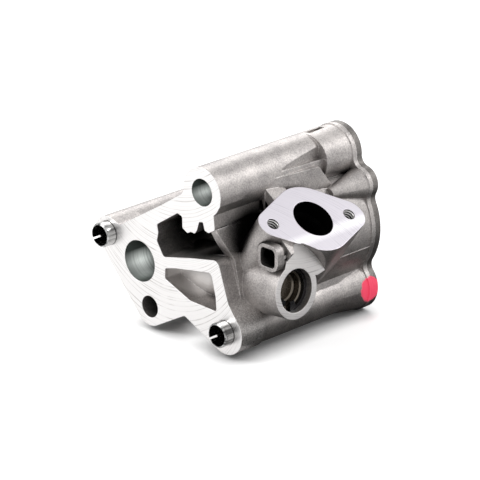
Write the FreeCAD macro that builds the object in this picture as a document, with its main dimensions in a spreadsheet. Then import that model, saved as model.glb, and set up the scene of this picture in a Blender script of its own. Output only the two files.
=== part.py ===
import FreeCAD, Part
import math
import os
import Sketcher

Vector = FreeCAD.Vector
Rotation = FreeCAD.Rotation
Placement = FreeCAD.Placement

# Frame: the mounting face is the plane Y = 0 and looks along -Y.
# The origin is the lower dowel's axis on that face, +Z is up, lengths are millimetres.

sizes = {
    # bolt and dowel places on the mounting face
    "left_dowel_x": -65.3,
    "left_dowel_z": 23.9,
    "foot_x": -41.7,
    "foot_z": -1.0,
    "top_x": -12.3,
    "top_z": 54.2,
    "outlet_x": -47.2,
    "outlet_z": 16.8,
    # bosses of the casting
    "lower_boss_radius": 9.0,
    "left_boss_radius": 7.0,
    "foot_boss_radius": 7.9,
    "top_boss_radius": 10.0,
    "outlet_wall": 3.2,
    "upper_wall_front": 25.2,
    "draft_angle": 6.7,
    "draft_start": 17.0,
    "draft_x": -3.8,
    "recess_angle": 5.0,
    "recess_start": 34.0,
    "recess_end": 57.0,
    "tube_slot_start": 58.5,
    "tube_slot_length": 8.5,
    "tube_slot_width": 3.0,
    "tube_slot_floor": 8.7,
    "left_boss_length": 62.0,
    "foot_boss_length": 34.0,
    "left_web_end": 54.0,
    "lower_web_end": 48.0,
    "foot_web_end": 30.0,
    "web_half": 2.2,
    "plate_thickness": 13.0,
    "block_depth": 34.0,
    "hollow_depth": 32.0,
    "window_depth": 16.0,
    "set_back": 7.0,
    "boss_step": 0.5,
    # bores of the mounting face
    "outlet_bore_radius": 8.5,
    "outlet_bore_depth": 51.0,
    "foot_hole_radius": 4.5,
    "top_hole_radius": 5.5,
    "dowel_hole_radius": 4.3,
    "dowel_radius": 5.0,
    "dowel_inner_radius": 4.3,
    "dowel_length": 10.5,
    "dowel_seat_depth": 6.0,
    "dowel_slot": 0.8,
    "dowel_edge": 0.5,
    "dowel_groove": 0.6,
    "dowel_groove_depth": 0.25,
    # rotor housing, its rear flange and the cover
    "chamber_x": -13.5,
    "chamber_z": 25.0,
    "housing_radius": 24.6,
    "housing_front": 30.0,
    "rear_face": 73.0,
    "rear_flange_thickness": 2.0,
    "rear_flange_step": 0.4,
    "cover_thickness": 3.0,
    "cover_hub_radius": 12.0,
    "cover_hub_height": 5.5,
    "side_lobe_radius": 6.5,
    "side_lobe_length": 16.0,
    "screw_circle_radius": 24.6,
    "top_rear_x": -10.2,
    "top_rear_radius": 10.8,
    "top_rear_length": 14.0,
    "lower_rear_radius": 10.3,
    "lower_rear_length": 15.0,
    "lobe_taper": 15.0,
    "lobe_notch_fillet": 4.0,
    # rotor set
    "eccentricity": 2.0,
    "outer_lobe_radius": 5.5,
    "outer_lobe_circle": 17.4,
    "outer_rotor_radius": 20.0,
    "rotor_width": 20.0,
    "rotor_end_clearance": 0.03,
    "rotor_tip_clearance": 0.08,
    "rotor_side_clearance": 0.09,
    # drive shaft
    "shaft_radius": 6.0,
    "shaft_front": 37.5,
    "shaft_rear": 95.0,
    "shaft_nose_radius": 5.5,
    "shaft_nose_length": 13.0,
    "shaft_flat_distance": 4.2,
    "shaft_thread_radius": 2.5,
    "shaft_thread_depth": 14.0,
    "shaft_edge": 0.8,
    "bush_wall": 1.5,
    "bush_length": 14.0,
    "bush_set_in": 0.5,
    "bush_edge": 0.4,
    "running_clearance": 0.03,
    "seat_clearance": 0.01,
    "drive_pin_radius": 1.5,
    "drive_pin_length": 17.0,
    "drive_slot_depth": 5.0,
    "drive_slot_gap": 0.05,
    # relief valve
    "relief_angle": 5.0,
    "relief_x": 18.7,
    "relief_y": 20.0,
    "relief_z": 16.9,
    "relief_bore_radius": 8.7,
    "relief_barrel_radius": 11.4,
    "relief_barrel_length": 58.0,
    "relief_bore_depth": 40.0,
    "relief_passage_radius": 5.0,
    "relief_rim": 1.2,
    "relief_rim_taper": 30.0,
    "fan_depth": 10.0,
    "spot_face_reach": 17.0,
    "ring_depth": 3.0,
    "ring_thickness": 1.2,
    "ring_groove": 0.8,
    "spring_seat_rim": 1.2,
    "spring_seat_cup_radius": 7.5,
    "spring_seat_cup_depth": 4.7,
    "spring_wire_radius": 0.8,
    "spring_coil_radius": 5.8,
    "spring_turns": 7.0,
    "piston_length": 20.0,
    "piston_nose": 3.0,
    "piston_cup_radius": 6.9,
    "spill_port_radius": 2.8,
    "spill_port_reach": 36.0,
    "spill_port_depth": 14.0,
    # pickup flange
    "flange_angle": 55.0,
    "flange_x": 12.9,
    "flange_y": 35.3,
    "flange_z": 40.9,
    "flange_radius": 15.7,
    "flange_depth": 24.0,
    "lug_drop": 0.4,
    "lug_height": 18.0,
    "lug_recess_x": -4.1,
    "lug_recess_y": 25.0,
    "lug_recess_z": 44.3,
    "lug_recess_radius": 2.6,
    "lug_recess_depth": 10.0,
    "suction_bore_radius": 8.5,
    "suction_bore_depth": 20.0,
    "flange_hole_radius": 2.5,
    "flange_hole_depth": 13.0,
    "flange_left": -19.2,
    "flange_left_rise": 3.6,
    "flange_left_radius": 6.2,
    "flange_right": 17.2,
    "flange_right_drop": -3.6,
    "flange_right_radius": 7.0,
    # stub boss beside the flange
    "stub_x": 12.9,
    "stub_z": 31.6,
    "stub_front": 10.0,
    "stub_width": 10.6,
    "stub_corner": 3.6,
    "stub_head": 3.6,
    "stub_step": 0.8,
    "stub_length": 16.0,
    "stub_web_front": 15.5,
    "stub_web_length": 12.0,
    "stub_port": 7.6,
    "stub_port_corner": 1.8,
    "stub_port_depth": 14.0,
    # outlet gallery behind the mounting face
    "gallery_y": 45.8,
    "gallery_z": 18.0,
    "gallery_inner_x": -28.5,
    "gallery_radius": 5.5,
    "gallery_wall": 2.8,
    "gallery_plug_length": 4.0,
    # ports beside the rotors
    "port_inner_radius": 10.6,
    "port_outer_radius": 15.6,
    "port_half_angle": 64.0,
    "suction_port_depth": 16.0,
    "outlet_port_depth": 11.5,
    # cover fasteners
    "screw_radius": 2.5,
    "screw_head_radius": 4.6,
    "screw_head_height": 2.3,
    "screw_length": 14.0,
    "screw_socket_radius": 1.5,
    "screw_socket_depth": 1.6,
    "pin_radius": 1.5,
    "pin_length": 9.0,
    "pin_circle_radius": 22.7,
    "pin_set_in": 0.1,
    "pin_edge": 0.4,
}

outer_lobes = 7
inner_lobes = outer_lobes - 1
points_per_lobe = 16

# angles about the chamber axis, degrees from +X towards +Z
screw_angles = {
    "top_right": 48.0,
    "top_left": 152.0,
    "lower_left": 214.0,
    "bottom": 266.0,
}
pin_angles = {"upper": 106.0, "lower": 240.0}

document = FreeCAD.newDocument("engine_oil_pump")
sheet = document.addObject("Spreadsheet::Sheet", "Sizes")
for row, (alias, number) in enumerate(sizes.items(), start=1):
    sheet.set(f"A{row}", alias)
    sheet.set(f"B{row}", str(number))
    sheet.setAlias(f"B{row}", alias)
document.recompute()

bodies = []


def size(alias):
    return float(sheet.get(alias))


def new_body(label):
    body = document.addObject("PartDesign::Body", label)
    body.Label = label
    body.AllowCompound = True
    bodies.append(body)
    return body


def place_body(body, base, rotation=None):
    body.Placement = Placement(Vector(0, 0, 0), rotation or Rotation())
    for axis, formula in zip("xyz", base):
        body.setExpression(f"Placement.Base.{axis}", formula)


def origin_plane(body, role):
    return next(item for item in body.Origin.OriginFeatures if item.Role == role)


def new_sketch(body, name, role="XZ_Plane", at=("0", "0", "0"), rotation=None):
    # at is given along the plane's own x, y and normal
    sketch = body.newObject("Sketcher::SketchObject", name)
    sketch.AttachmentSupport = (origin_plane(body, role), [""])
    sketch.MapMode = "FlatFace"
    sketch.AttachmentOffset = Placement(Vector(0, 0, 0), rotation or Rotation())
    for axis, formula in zip("xyz", at):
        if formula != "0":
            sketch.setExpression(f"AttachmentOffset.Base.{axis}", formula)
    return sketch


def add_circle(sketch, radius_formula, radius):
    index = sketch.addGeometry(Part.Circle(Vector(0, 0, 0), Vector(0, 0, 1), radius), False)
    sketch.addConstraint(Sketcher.Constraint("Coincident", index, 3, -1, 1))
    rule = sketch.addConstraint(Sketcher.Constraint("Radius", index, radius))
    sketch.setExpression(f"Constraints[{rule}]", radius_formula)


def evaluate(formula):
    return float(sheet.evalExpression(formula.replace("Sizes.", "")))


def circle_sketch(body, name, at, radius_formula, role="XZ_Plane", rotation=None):
    sketch = new_sketch(body, name, role, at, rotation)
    add_circle(sketch, radius_formula, evaluate(radius_formula))
    return sketch


def pad(body, name, sketch, length, reverse=True, taper=""):
    feature = body.newObject("PartDesign::Pad", name)
    feature.Profile = sketch
    feature.Reversed = reverse
    feature.setExpression("Length", length)
    if taper:
        feature.setExpression("TaperAngle", taper)
    body.Tip = feature
    return feature


def pocket(body, name, sketch, length, reverse=False, midplane=False):
    feature = body.newObject("PartDesign::Pocket", name)
    feature.Profile = sketch
    feature.Reversed = reverse
    feature.Midplane = midplane
    feature.setExpression("Length", length)
    body.Tip = feature
    return feature


def revolve(body, name, sketch, axis="V_Axis"):
    feature = body.newObject("PartDesign::Revolution", name)
    feature.Profile = sketch
    feature.ReferenceAxis = (sketch, [axis])
    feature.Angle = 360
    body.Tip = feature
    return feature


# Outline of bosses and corners, counter-clockwise.
# Each item is (x, y, boss radius, fillet): bosses are joined by their common tangents.
def outline_edges(items):
    count = len(items)
    normals = []
    lines = []
    for index, (ax, ay, ar, _) in enumerate(items):
        bx, by, br, _ = items[(index + 1) % count]
        step = Vector(bx - ax, by - ay, 0)
        along = step / step.Length
        right = Vector(along.y, -along.x, 0)
        share = (ar - br) / step.Length
        normal = along * share + right * math.sqrt(1 - share * share)
        normals.append(normal)
        lines.append([Vector(ax, ay, 0) + normal * ar, Vector(bx, by, 0) + normal * br])
    edges = []
    for index, (x, y, boss, fillet) in enumerate(items):
        before = lines[index - 1]
        after = lines[index]
        if boss > 0:
            first = math.atan2(normals[index - 1].y, normals[index - 1].x)
            last = math.atan2(normals[index].y, normals[index].x)
            middle = first + ((last - first) % (2 * math.pi)) / 2
            top = Vector(x + boss * math.cos(middle), y + boss * math.sin(middle), 0)
            edges.append(Part.Arc(before[1], top, after[0]))
        elif fillet > 0:
            incoming = (before[1] - before[0]).normalize()
            outgoing = (after[1] - after[0]).normalize()
            turn = incoming.getAngle(outgoing)
            reach = fillet * math.tan(turn / 2)
            inward = (outgoing - incoming).normalize()
            corner = Vector(x, y, 0)
            centre = corner + inward * (fillet / math.cos(turn / 2))
            before[1] = corner - incoming * reach
            after[0] = corner + outgoing * reach
            edges.append(Part.Arc(before[1], centre - inward * fillet, after[0]))
    for first, last in lines:
        if (last - first).Length > 0.001:
            edges.append(Part.LineSegment(first, last))
    return edges


def outline_sketch(body, name, items, role="XZ_Plane", at=("0", "0", "0"), rotation=None):
    sketch = new_sketch(body, name, role, at, rotation)
    sketch.addGeometry(outline_edges(items), False)
    return sketch


def polar(radius, turn):
    return Vector(radius * math.cos(turn), radius * math.sin(turn), 0)


def corner(x, y, fillet=0.0):
    return (x, y, 0.0, fillet)


def boss(x, y, radius):
    return (x, y, radius, 0.0)


def polygon_sketch(body, name, corners, role="XZ_Plane", at=("0", "0", "0"), rotation=None):
    sketch = new_sketch(body, name, role, at, rotation)
    points = [Vector(x, y, 0) for x, y in corners]
    for first, last in zip(points, points[1:] + points[:1]):
        sketch.addGeometry(Part.LineSegment(first, last), False)
    return sketch


# The pump body: one casting with a ribbed mounting face, a rotor housing behind it,
# the relief valve barrel across it and the pickup flange on its upper right side.
left_x = size("left_dowel_x")
left_z = size("left_dowel_z")
foot_x = size("foot_x")
foot_z = size("foot_z")
top_x = size("top_x")
top_z = size("top_z")
outlet_x = size("outlet_x")
outlet_z = size("outlet_z")

casting = new_body("pump_body")

# front edges of the ribs: right of the hollow, right of the window
rib_corner = (-3.9, 28.6)
rib_right_low = (1.6, 12.5)
rib_foot = (4.5, 8.6)
tooth_right = (top_x + 6.8, top_z - 13.6)
tooth_base = (top_x + 6.1, top_z - 6.9)
boss_shoulder = (top_x + 9.6, top_z - 3.7)
web_top_start = (left_x + 6.8, left_z + 4.9)
web_top_middle = (top_x - 22.3, top_z - 10.7)
web_top_end = (top_x - 10.0, top_z - 2.6)
notch = (-22.3, 0.7)

hollow_outline = [
    corner(-33.7, 22.1, 1.5),
    corner(-20.0, 25.4),
    corner(-6.2, 28.4, 1.0),
    corner(-8.4, 33.5, 1.0),
    corner(top_x + 3.5, top_z - 15.6, 1.0),
    corner(top_x + 1.4, top_z - 15.1, 0.8),
    corner(top_x + 0.4, top_z - 11.9, 0.5),
    corner(top_x - 1.7, top_z - 12.5, 0.5),
    corner(top_x - 2.9, top_z - 16.2, 0.6),
    corner(top_x - 4.1, top_z - 17.8, 0.6),
    corner(top_x - 6.2, top_z - 17.6, 0.6),
    corner(top_x - 8.0, top_z - 18.6, 0.6),
    corner(top_x - 10.8, top_z - 17.2, 1.0),
    corner(top_x - 10.9, top_z - 12.5, 1.2),
    corner(top_x - 13.5, top_z - 11.8, 1.0),
    corner(-37.3, 34.8, 1.0),
    corner(-36.6, 31.6, 0.8),
    corner(-37.4, 27.9, 1.0),
]

frame_outline = [
    boss(0, 0, size("lower_boss_radius")),
    corner(*rib_foot, 2.0),
    corner(*rib_right_low, 3.0),
    corner(*rib_corner, 3.0),
    corner(*hollow_outline[1][:2]),
    corner(*hollow_outline[0][:2], 1.5),
    corner(*hollow_outline[17][:2], 1.0),
    corner(*hollow_outline[16][:2], 0.8),
    corner(*hollow_outline[15][:2], 1.0),
    hollow_outline[14],
    hollow_outline[13],
    hollow_outline[12],
    hollow_outline[11],
    hollow_outline[10],
    hollow_outline[9],
    hollow_outline[8],
    hollow_outline[7],
    hollow_outline[6],
    hollow_outline[5],
    hollow_outline[4],
    corner(*tooth_right, 1.0),
    corner(*tooth_base, 1.5),
    corner(*boss_shoulder, 1.5),
    boss(top_x, top_z, size("top_boss_radius")),
    corner(*web_top_end, 4.0),
    corner(*web_top_middle, 8.0),
    corner(*web_top_start, 3.0),
    boss(left_x, left_z, size("left_boss_radius")),
    boss(foot_x, foot_z, size("foot_boss_radius")),
    corner(*notch, 2.0),
]

# the hollow's right wall: its front edge slopes back towards the rib
hollow_wall = [
    (top_x + 3.5, top_z - 15.6),
    (top_x + 6.8, top_z - 13.6),
    (rib_corner[0] + 2.3, rib_corner[1] - 1.1),
    (rib_corner[0] - 2.3, rib_corner[1] - 0.2),
    (-8.4, 33.5),
]
hollow_wall_sketch = polygon_sketch(casting, "hollow_wall_outline", hollow_wall, at=("0", "0", "-1"))
pad(casting, "hollow_wall", hollow_wall_sketch, "Sizes.set_back")
slope_top = tooth_right[1] - 1.6
slope_low = rib_corner[1] - 1.2
wall_slope = [(0, slope_top), (1.2, slope_top), (size("set_back"), slope_low), (0, slope_low)]
wall_slope_sketch = polygon_sketch(casting, "wall_slope_outline", wall_slope, "YZ_Plane", ("0", "0", "-1"))
pocket(casting, "wall_slope", wall_slope_sketch, "Sizes.top_boss_radius")

pad(casting, "front_frame", outline_sketch(casting, "front_outline", frame_outline), "Sizes.plate_thickness")

# block behind the frame that carries the walls of the hollow
block_outline = [
    boss(0, 0, size("lower_boss_radius") - size("boss_step")),
    corner(*rib_foot),
    corner(*rib_right_low, 3.0),
    corner(rib_corner[0] + 2.3, rib_corner[1] - 1.1),
    corner(*tooth_right),
    corner(*tooth_base, 1.0),
    corner(top_x + 9.4, top_z - 2.0),
    corner(top_x, top_z + 5.0),
    corner(*web_top_end, 4.0),
    corner(*web_top_middle, 8.0),
    corner(outlet_x + 5.5, outlet_z + 22.4),
    corner(outlet_x + 4.0, outlet_z - 9.0),
    corner(-33.0, 1.6),
    corner(-12.0, 1.6),
]
block = outline_sketch(casting, "block_outline", block_outline, at=("0", "0", "-Sizes.set_back"))
pad(casting, "block", block, "Sizes.block_depth - Sizes.set_back")

# round bosses that run along Y, each with its place, start and length
round_bosses = [
    ("lower_boss", "0", "0", "Sizes.lower_boss_radius - Sizes.boss_step", "0", "Sizes.rear_face"),
    ("top_boss", "Sizes.top_x", "Sizes.top_z", "Sizes.top_boss_radius", "0", "Sizes.rear_face"),
    ("left_boss", "Sizes.left_dowel_x", "Sizes.left_dowel_z", "Sizes.left_boss_radius", "0",
     "Sizes.left_boss_length"),
    ("foot_boss", "Sizes.foot_x", "Sizes.foot_z", "Sizes.foot_boss_radius", "0", "Sizes.foot_boss_length"),
    ("outlet_boss", "Sizes.outlet_x", "Sizes.outlet_z", "Sizes.outlet_bore_radius + Sizes.outlet_wall", "0",
     "Sizes.outlet_bore_depth + Sizes.outlet_wall"),
    ("housing", "Sizes.chamber_x", "Sizes.chamber_z", "Sizes.housing_radius", "Sizes.housing_front",
     "Sizes.rear_face - Sizes.housing_front"),
]
for name, x, z, radius, start, length in round_bosses:
    ring = circle_sketch(casting, name + "_circle", (x, z, "-(" + start + ")"), radius)
    pad(casting, name, ring, length)

# webs between the bosses
chamber_x = size("chamber_x")
chamber_z = size("chamber_z")
web_half = size("web_half")
left_web = [
    (left_x + 1.0, left_z + 1.5),
    (web_top_start[0], web_top_start[1] - 2 * web_half),
    (web_top_middle[0] + 2.0, web_top_middle[1] - 2 * web_half),
    (web_top_middle[0], web_top_middle[1] - 0.5),
    (web_top_start[0], web_top_start[1] - 0.3),
    (left_x + 1.0, left_z + 6.0),
]
pad(casting, "left_web", polygon_sketch(casting, "left_web_outline", left_web), "Sizes.left_web_end")
lower_web = [
    (left_x, left_z - 2.0),
    (outlet_x, outlet_z - 2.0),
    (outlet_x, outlet_z + 2.0),
    (left_x, left_z + 2.0),
]
pad(casting, "lower_web", polygon_sketch(casting, "lower_web_outline", lower_web), "Sizes.lower_web_end")
foot_web = [
    (foot_x - 2.5, foot_z),
    (foot_x + 2.5, foot_z),
    (outlet_x + 2.5, outlet_z),
    (outlet_x - 2.5, outlet_z),
]
pad(casting, "foot_web", polygon_sketch(casting, "foot_web_outline", foot_web), "Sizes.foot_web_end")
upper_wall = [
    (chamber_x - 17.0, chamber_z + 10.0),
    (chamber_x + 9.5, chamber_z + 10.0),
    (top_x + size("top_boss_radius") - 1.7, top_z),
    (web_top_end[0] + 1.0, web_top_end[1] - 0.4),
    (web_top_middle[0] + 5.0, web_top_middle[1] + 0.5),
]
upper_wall_sketch = polygon_sketch(casting, "upper_wall_outline", upper_wall,
                                   at=("0", "0", "-Sizes.upper_wall_front"))
pad(casting, "upper_wall", upper_wall_sketch, "Sizes.rear_face - Sizes.upper_wall_front")

# drafted wall over the flange: it leaves the tube as it runs back and ends in a slope
draft_turn = Rotation(Vector(0, 1, 0), -size("draft_angle"))
draft_top = top_z + 0.5
draft_wall = [
    (8.2, 34.0),
    (7.7, 52.0),
    (0.0, draft_top + 0.3),
    (35.2, draft_top),
    (38.2, 50.6),
    (43.7, 43.1),
    (45.1, 34.0),
]
draft_sketch = polygon_sketch(casting, "draft_wall_outline", draft_wall, "YZ_Plane",
                              ("Sizes.draft_start", "0", "Sizes.draft_x"), draft_turn)
pad(casting, "draft_wall", draft_sketch, "Sizes.top_boss_radius")

# wall between the lower boss and the housing, with the notch that the rear outline has
side_wall = [
    (-6.0, 3.0),
    (6.4, 4.5),
    (5.6, 8.6),
    (7.6, 13.0),
    (chamber_x + 24.0, chamber_z - 6.0),
    (chamber_x + 10.0, chamber_z),
]
side_wall_sketch = polygon_sketch(casting, "side_wall_outline", side_wall, at=("0", "0", "-Sizes.relief_y"))
pad(casting, "side_wall", side_wall_sketch, "Sizes.rear_face - Sizes.relief_y")


def lobe_place(angle, circle):
    turn = math.radians(angle)
    x = f"Sizes.chamber_x + Sizes.{circle} * {math.cos(turn):.6f}"
    z = f"Sizes.chamber_z + Sizes.{circle} * {math.sin(turn):.6f}"
    return x, z


# lobes at the rear: each tapers forward into the wall
plate_front = "-(Sizes.rear_face - Sizes.rear_flange_thickness)"
rear_bosses = [
    ("top", "Sizes.top_rear_x", "Sizes.top_z", "Sizes.top_rear_radius", "Sizes.top_rear_length",
     "-Sizes.lobe_taper / 5"),
    ("lower", "0", "0", "Sizes.lower_rear_radius", "Sizes.lower_rear_length", "-Sizes.lobe_taper / 2"),
]
for name, angle in screw_angles.items():
    x, z = lobe_place(angle, "screw_circle_radius")
    rear_bosses.append((name, x, z, "Sizes.side_lobe_radius", "Sizes.side_lobe_length", "-Sizes.lobe_taper"))
for name, x, z, radius, length, taper in rear_bosses:
    ring = circle_sketch(casting, f"lobe_{name}_circle", (x, z, plate_front), radius)
    pad(casting, f"lobe_{name}", ring, length, False, taper)


# Outline round circles that cross, counter-clockwise, with a fillet in each notch.
def lobed_edges(circles, fillet):
    fillet_centres = []
    for index, (x, y, radius) in enumerate(circles):
        next_x, next_y, next_radius = circles[(index + 1) % len(circles)]
        step = Vector(next_x - x, next_y - y, 0)
        span = step.Length
        along = step / span
        right = Vector(along.y, -along.x, 0)
        reach = (span ** 2 + (radius + fillet) ** 2 - (next_radius + fillet) ** 2) / (2 * span)
        side = math.sqrt((radius + fillet) ** 2 - reach ** 2)
        fillet_centres.append(Vector(x, y, 0) + along * reach + right * side)
    edges = []
    for index, (x, y, radius) in enumerate(circles):
        middle = Vector(x, y, 0)
        before = fillet_centres[index - 1] - middle
        after = fillet_centres[index] - middle
        start = math.atan2(before.y, before.x)
        end = math.atan2(after.y, after.x)
        half_turn = start + ((end - start) % (2 * math.pi)) / 2
        last = middle + polar(radius, end)
        edges.append(Part.Arc(middle + polar(radius, start), middle + polar(radius, half_turn), last))
        next_x, next_y, next_radius = circles[(index + 1) % len(circles)]
        following = Vector(next_x, next_y, 0)
        next_start = following + (fillet_centres[index] - following).normalize() * next_radius
        deepest = ((last + next_start) * 0.5 - fillet_centres[index]).normalize() * fillet
        edges.append(Part.Arc(last, fillet_centres[index] + deepest, next_start))
    return edges


# rear outline, shared by the body's flange and the cover
plate_step = size("rear_flange_step")
chamber_circle = (chamber_x, chamber_z, size("housing_radius") + plate_step)
lobe_circles = {}
for name, x, z, radius, _, _ in rear_bosses:
    lobe_circles[name] = (evaluate(x), evaluate(z), evaluate(radius) + plate_step)
rear_circles = [
    lobe_circles["lower"],
    chamber_circle,
    lobe_circles["top_right"],
    lobe_circles["top"],
    chamber_circle,
    lobe_circles["top_left"],
    chamber_circle,
    lobe_circles["lower_left"],
    chamber_circle,
    lobe_circles["bottom"],
]


def rear_plate(body, at, thickness):
    plate_sketch = new_sketch(body, "rear_outline", at=("0", "0", at))
    plate_sketch.addGeometry(lobed_edges(rear_circles, size("lobe_notch_fillet")), False)
    pad(body, "rear_plate", plate_sketch, thickness)


rear_plate(casting, plate_front, "Sizes.rear_flange_thickness")

# relief valve barrel: its axis rises to the right by the relief angle
relief_turn = Rotation(Vector(1, 0, 0), -size("relief_angle"))
relief_at = ("Sizes.relief_y", "Sizes.relief_z", "Sizes.relief_x")


def relief_point(reach):
    # offset from the mouth's centre, going into the bore
    turn = math.radians(size("relief_angle"))
    x = f"Sizes.relief_x - ({reach}) * {math.cos(turn):.6f}"
    z = f"Sizes.relief_z - ({reach}) * {math.sin(turn):.6f}"
    return x, z


rim_x, rim_z = relief_point("Sizes.relief_rim")
rim_at = ("Sizes.relief_y", rim_z, rim_x)
rim = circle_sketch(casting, "relief_rim_circle", rim_at, "Sizes.relief_barrel_radius", "YZ_Plane", relief_turn)
pad(casting, "relief_rim", rim, "Sizes.relief_rim", False, "-Sizes.relief_rim_taper")
barrel = circle_sketch(casting, "relief_barrel_circle", rim_at, "Sizes.relief_barrel_radius", "YZ_Plane",
                       relief_turn)
pad(casting, "relief_barrel", barrel, "Sizes.relief_barrel_length")

# the machined fan beside the barrel's mouth, given from the mouth's centre
fan_left = [(-6.5, 8.0), (-5.5, 9.9), (-3.4, 15.3), (-0.5, 19.4), (2.2, 19.0)]
fan_middle = (11.4, 11.3)
fan_right = [(16.4, 3.9), (12.1, 3.0), (8.7, 4.0), (0.0, 0.0)]


def fan_sketch(name):
    sketch = new_sketch(casting, name, "YZ_Plane", relief_at, relief_turn)
    points = [Vector(x, y, 0) for x, y in fan_left + fan_right]
    for index, first in enumerate(points):
        last = points[(index + 1) % len(points)]
        if index == len(fan_left) - 1:
            sketch.addGeometry(Part.Arc(first, Vector(*fan_middle, 0), last), False)
        else:
            sketch.addGeometry(Part.LineSegment(first, last), False)
    return sketch


pad(casting, "fan_block", fan_sketch("fan_block_outline"), "Sizes.fan_depth")

# pickup flange on a neck, square to the flange angle
flange_turn = Rotation(Vector(1, 0, 0), -size("flange_angle"))
flange_at = ("Sizes.flange_y", "Sizes.flange_z", "Sizes.flange_x")
flange_outline = [
    boss(size("flange_left"), size("flange_left_rise"), size("flange_left_radius")),
    boss(0, 0, size("flange_radius")),
    boss(size("flange_right"), size("flange_right_drop"), size("flange_right_radius")),
    boss(0, 0, size("flange_radius")),
]
flange_sketch = outline_sketch(casting, "flange_outline", flange_outline, "YZ_Plane", flange_at, flange_turn)
pad(casting, "flange", flange_sketch, "Sizes.flange_depth")
lug_outline = [
    corner(-10.1, 8.0),
    corner(-2.0, 8.0),
    corner(-1.0, 17.0, 1.0),
    corner(-5.4, 18.5, 1.0),
    corner(-10.1, 19.6, 0.6),
]
lug_turn = math.radians(size("flange_angle"))
lug_at = (
    "Sizes.flange_y",
    f"Sizes.flange_z - Sizes.lug_drop * {math.sin(lug_turn):.6f}",
    f"Sizes.flange_x - Sizes.lug_drop * {math.cos(lug_turn):.6f}",
)
lug_sketch = outline_sketch(casting, "lug_outline", lug_outline, "YZ_Plane", lug_at, flange_turn)
pad(casting, "flange_lug", lug_sketch, "Sizes.lug_height")



def square_outline(half, fillet):
    return [corner(half, -half, fillet), corner(half, half, fillet), corner(-half, half, fillet),
            corner(-half, -half, fillet)]


stub_at = ("Sizes.stub_x", "Sizes.stub_z", "-Sizes.stub_front")
stub_half = size("stub_width") / 2
stub_corner = size("stub_corner")
stub_sketch = outline_sketch(casting, "stub_outline", square_outline(stub_half, stub_corner), at=stub_at)
pad(casting, "stub_boss", stub_sketch, "Sizes.stub_head")
neck_outline = square_outline(stub_half - size("stub_step"), stub_corner - size("stub_step"))
pad(casting, "stub_neck", outline_sketch(casting, "stub_neck_outline", neck_outline, at=stub_at), "Sizes.stub_length")
stub_web = [(8.5, 34.0), (18.0, 30.0), (20.2, 33.4), (16.2, 37.2), (9.5, 41.2)]
stub_web_sketch = polygon_sketch(casting, "stub_web_outline", stub_web, at=("0", "0", "-Sizes.stub_web_front"))
pad(casting, "stub_web", stub_web_sketch, "Sizes.stub_web_length")
gallery_at = ("Sizes.gallery_y", "Sizes.gallery_z", "Sizes.gallery_inner_x")
gallery_length = "Sizes.gallery_inner_x - Sizes.outlet_x + Sizes.outlet_bore_radius + Sizes.outlet_wall + 1"
gallery = circle_sketch(casting, "gallery_boss_circle", gallery_at, "Sizes.gallery_radius + Sizes.gallery_wall",
                        "YZ_Plane")
pad(casting, "gallery_boss", gallery, gallery_length)

# hollow above the rib and window below it; the window ends on the relief barrel
hollow_sketch = outline_sketch(casting, "hollow_outline", hollow_outline)
pocket(casting, "hollow", hollow_sketch, "Sizes.hollow_depth")
window_outline = [
    corner(-19.1, 7.9, 1.5),
    corner(-4.6, 7.4, 1.0),
    corner(-5.1, 13.4, 1.0),
    corner(-7.5, 22.6, 2.0),
    corner(-27.1, 19.2, 1.0),
    corner(-32.9, 17.6, 1.0),
    corner(-33.0, 13.3, 1.0),
]
window_sketch = outline_sketch(casting, "window_outline", window_outline)
pocket(casting, "window", window_sketch, "Sizes.window_depth")

# flat recess on the right side of the top boss, deeper towards the rear
recess_turn = Rotation(Vector(0, 1, 0), size("recess_angle"))
recess_length = size("recess_end") - size("recess_start")
recess_low = top_z + 2.4
recess_outline = [(0, recess_low), (recess_length, recess_low - 0.6), (recess_length, top_z + 9.4), (0, top_z + 8.0)]
recess_sketch = polygon_sketch(casting, "tube_recess_outline", recess_outline, "YZ_Plane",
                               ("Sizes.recess_start", "0", "Sizes.top_x + Sizes.top_boss_radius - 0.6"), recess_turn)
pocket(casting, "tube_recess", recess_sketch, "Sizes.top_boss_radius", True)

# short slot along the top of the same boss
slot_right = size("tube_slot_width") / 2
slot_end = size("tube_slot_length")
tube_slot = [(-slot_right, 0), (slot_right, 0), (slot_right, slot_end), (-slot_right, slot_end)]
tube_slot_sketch = polygon_sketch(casting, "tube_slot_outline", tube_slot, "XY_Plane",
                                  ("Sizes.top_x", "Sizes.tube_slot_start", "Sizes.top_z + Sizes.tube_slot_floor"))
pocket(casting, "tube_slot", tube_slot_sketch, "Sizes.top_boss_radius", True)
window_back = circle_sketch(casting, "window_back_circle", relief_at, "Sizes.relief_barrel_radius",
                            "YZ_Plane", relief_turn)
pad(casting, "window_back", window_back, "Sizes.relief_barrel_length")

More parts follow.
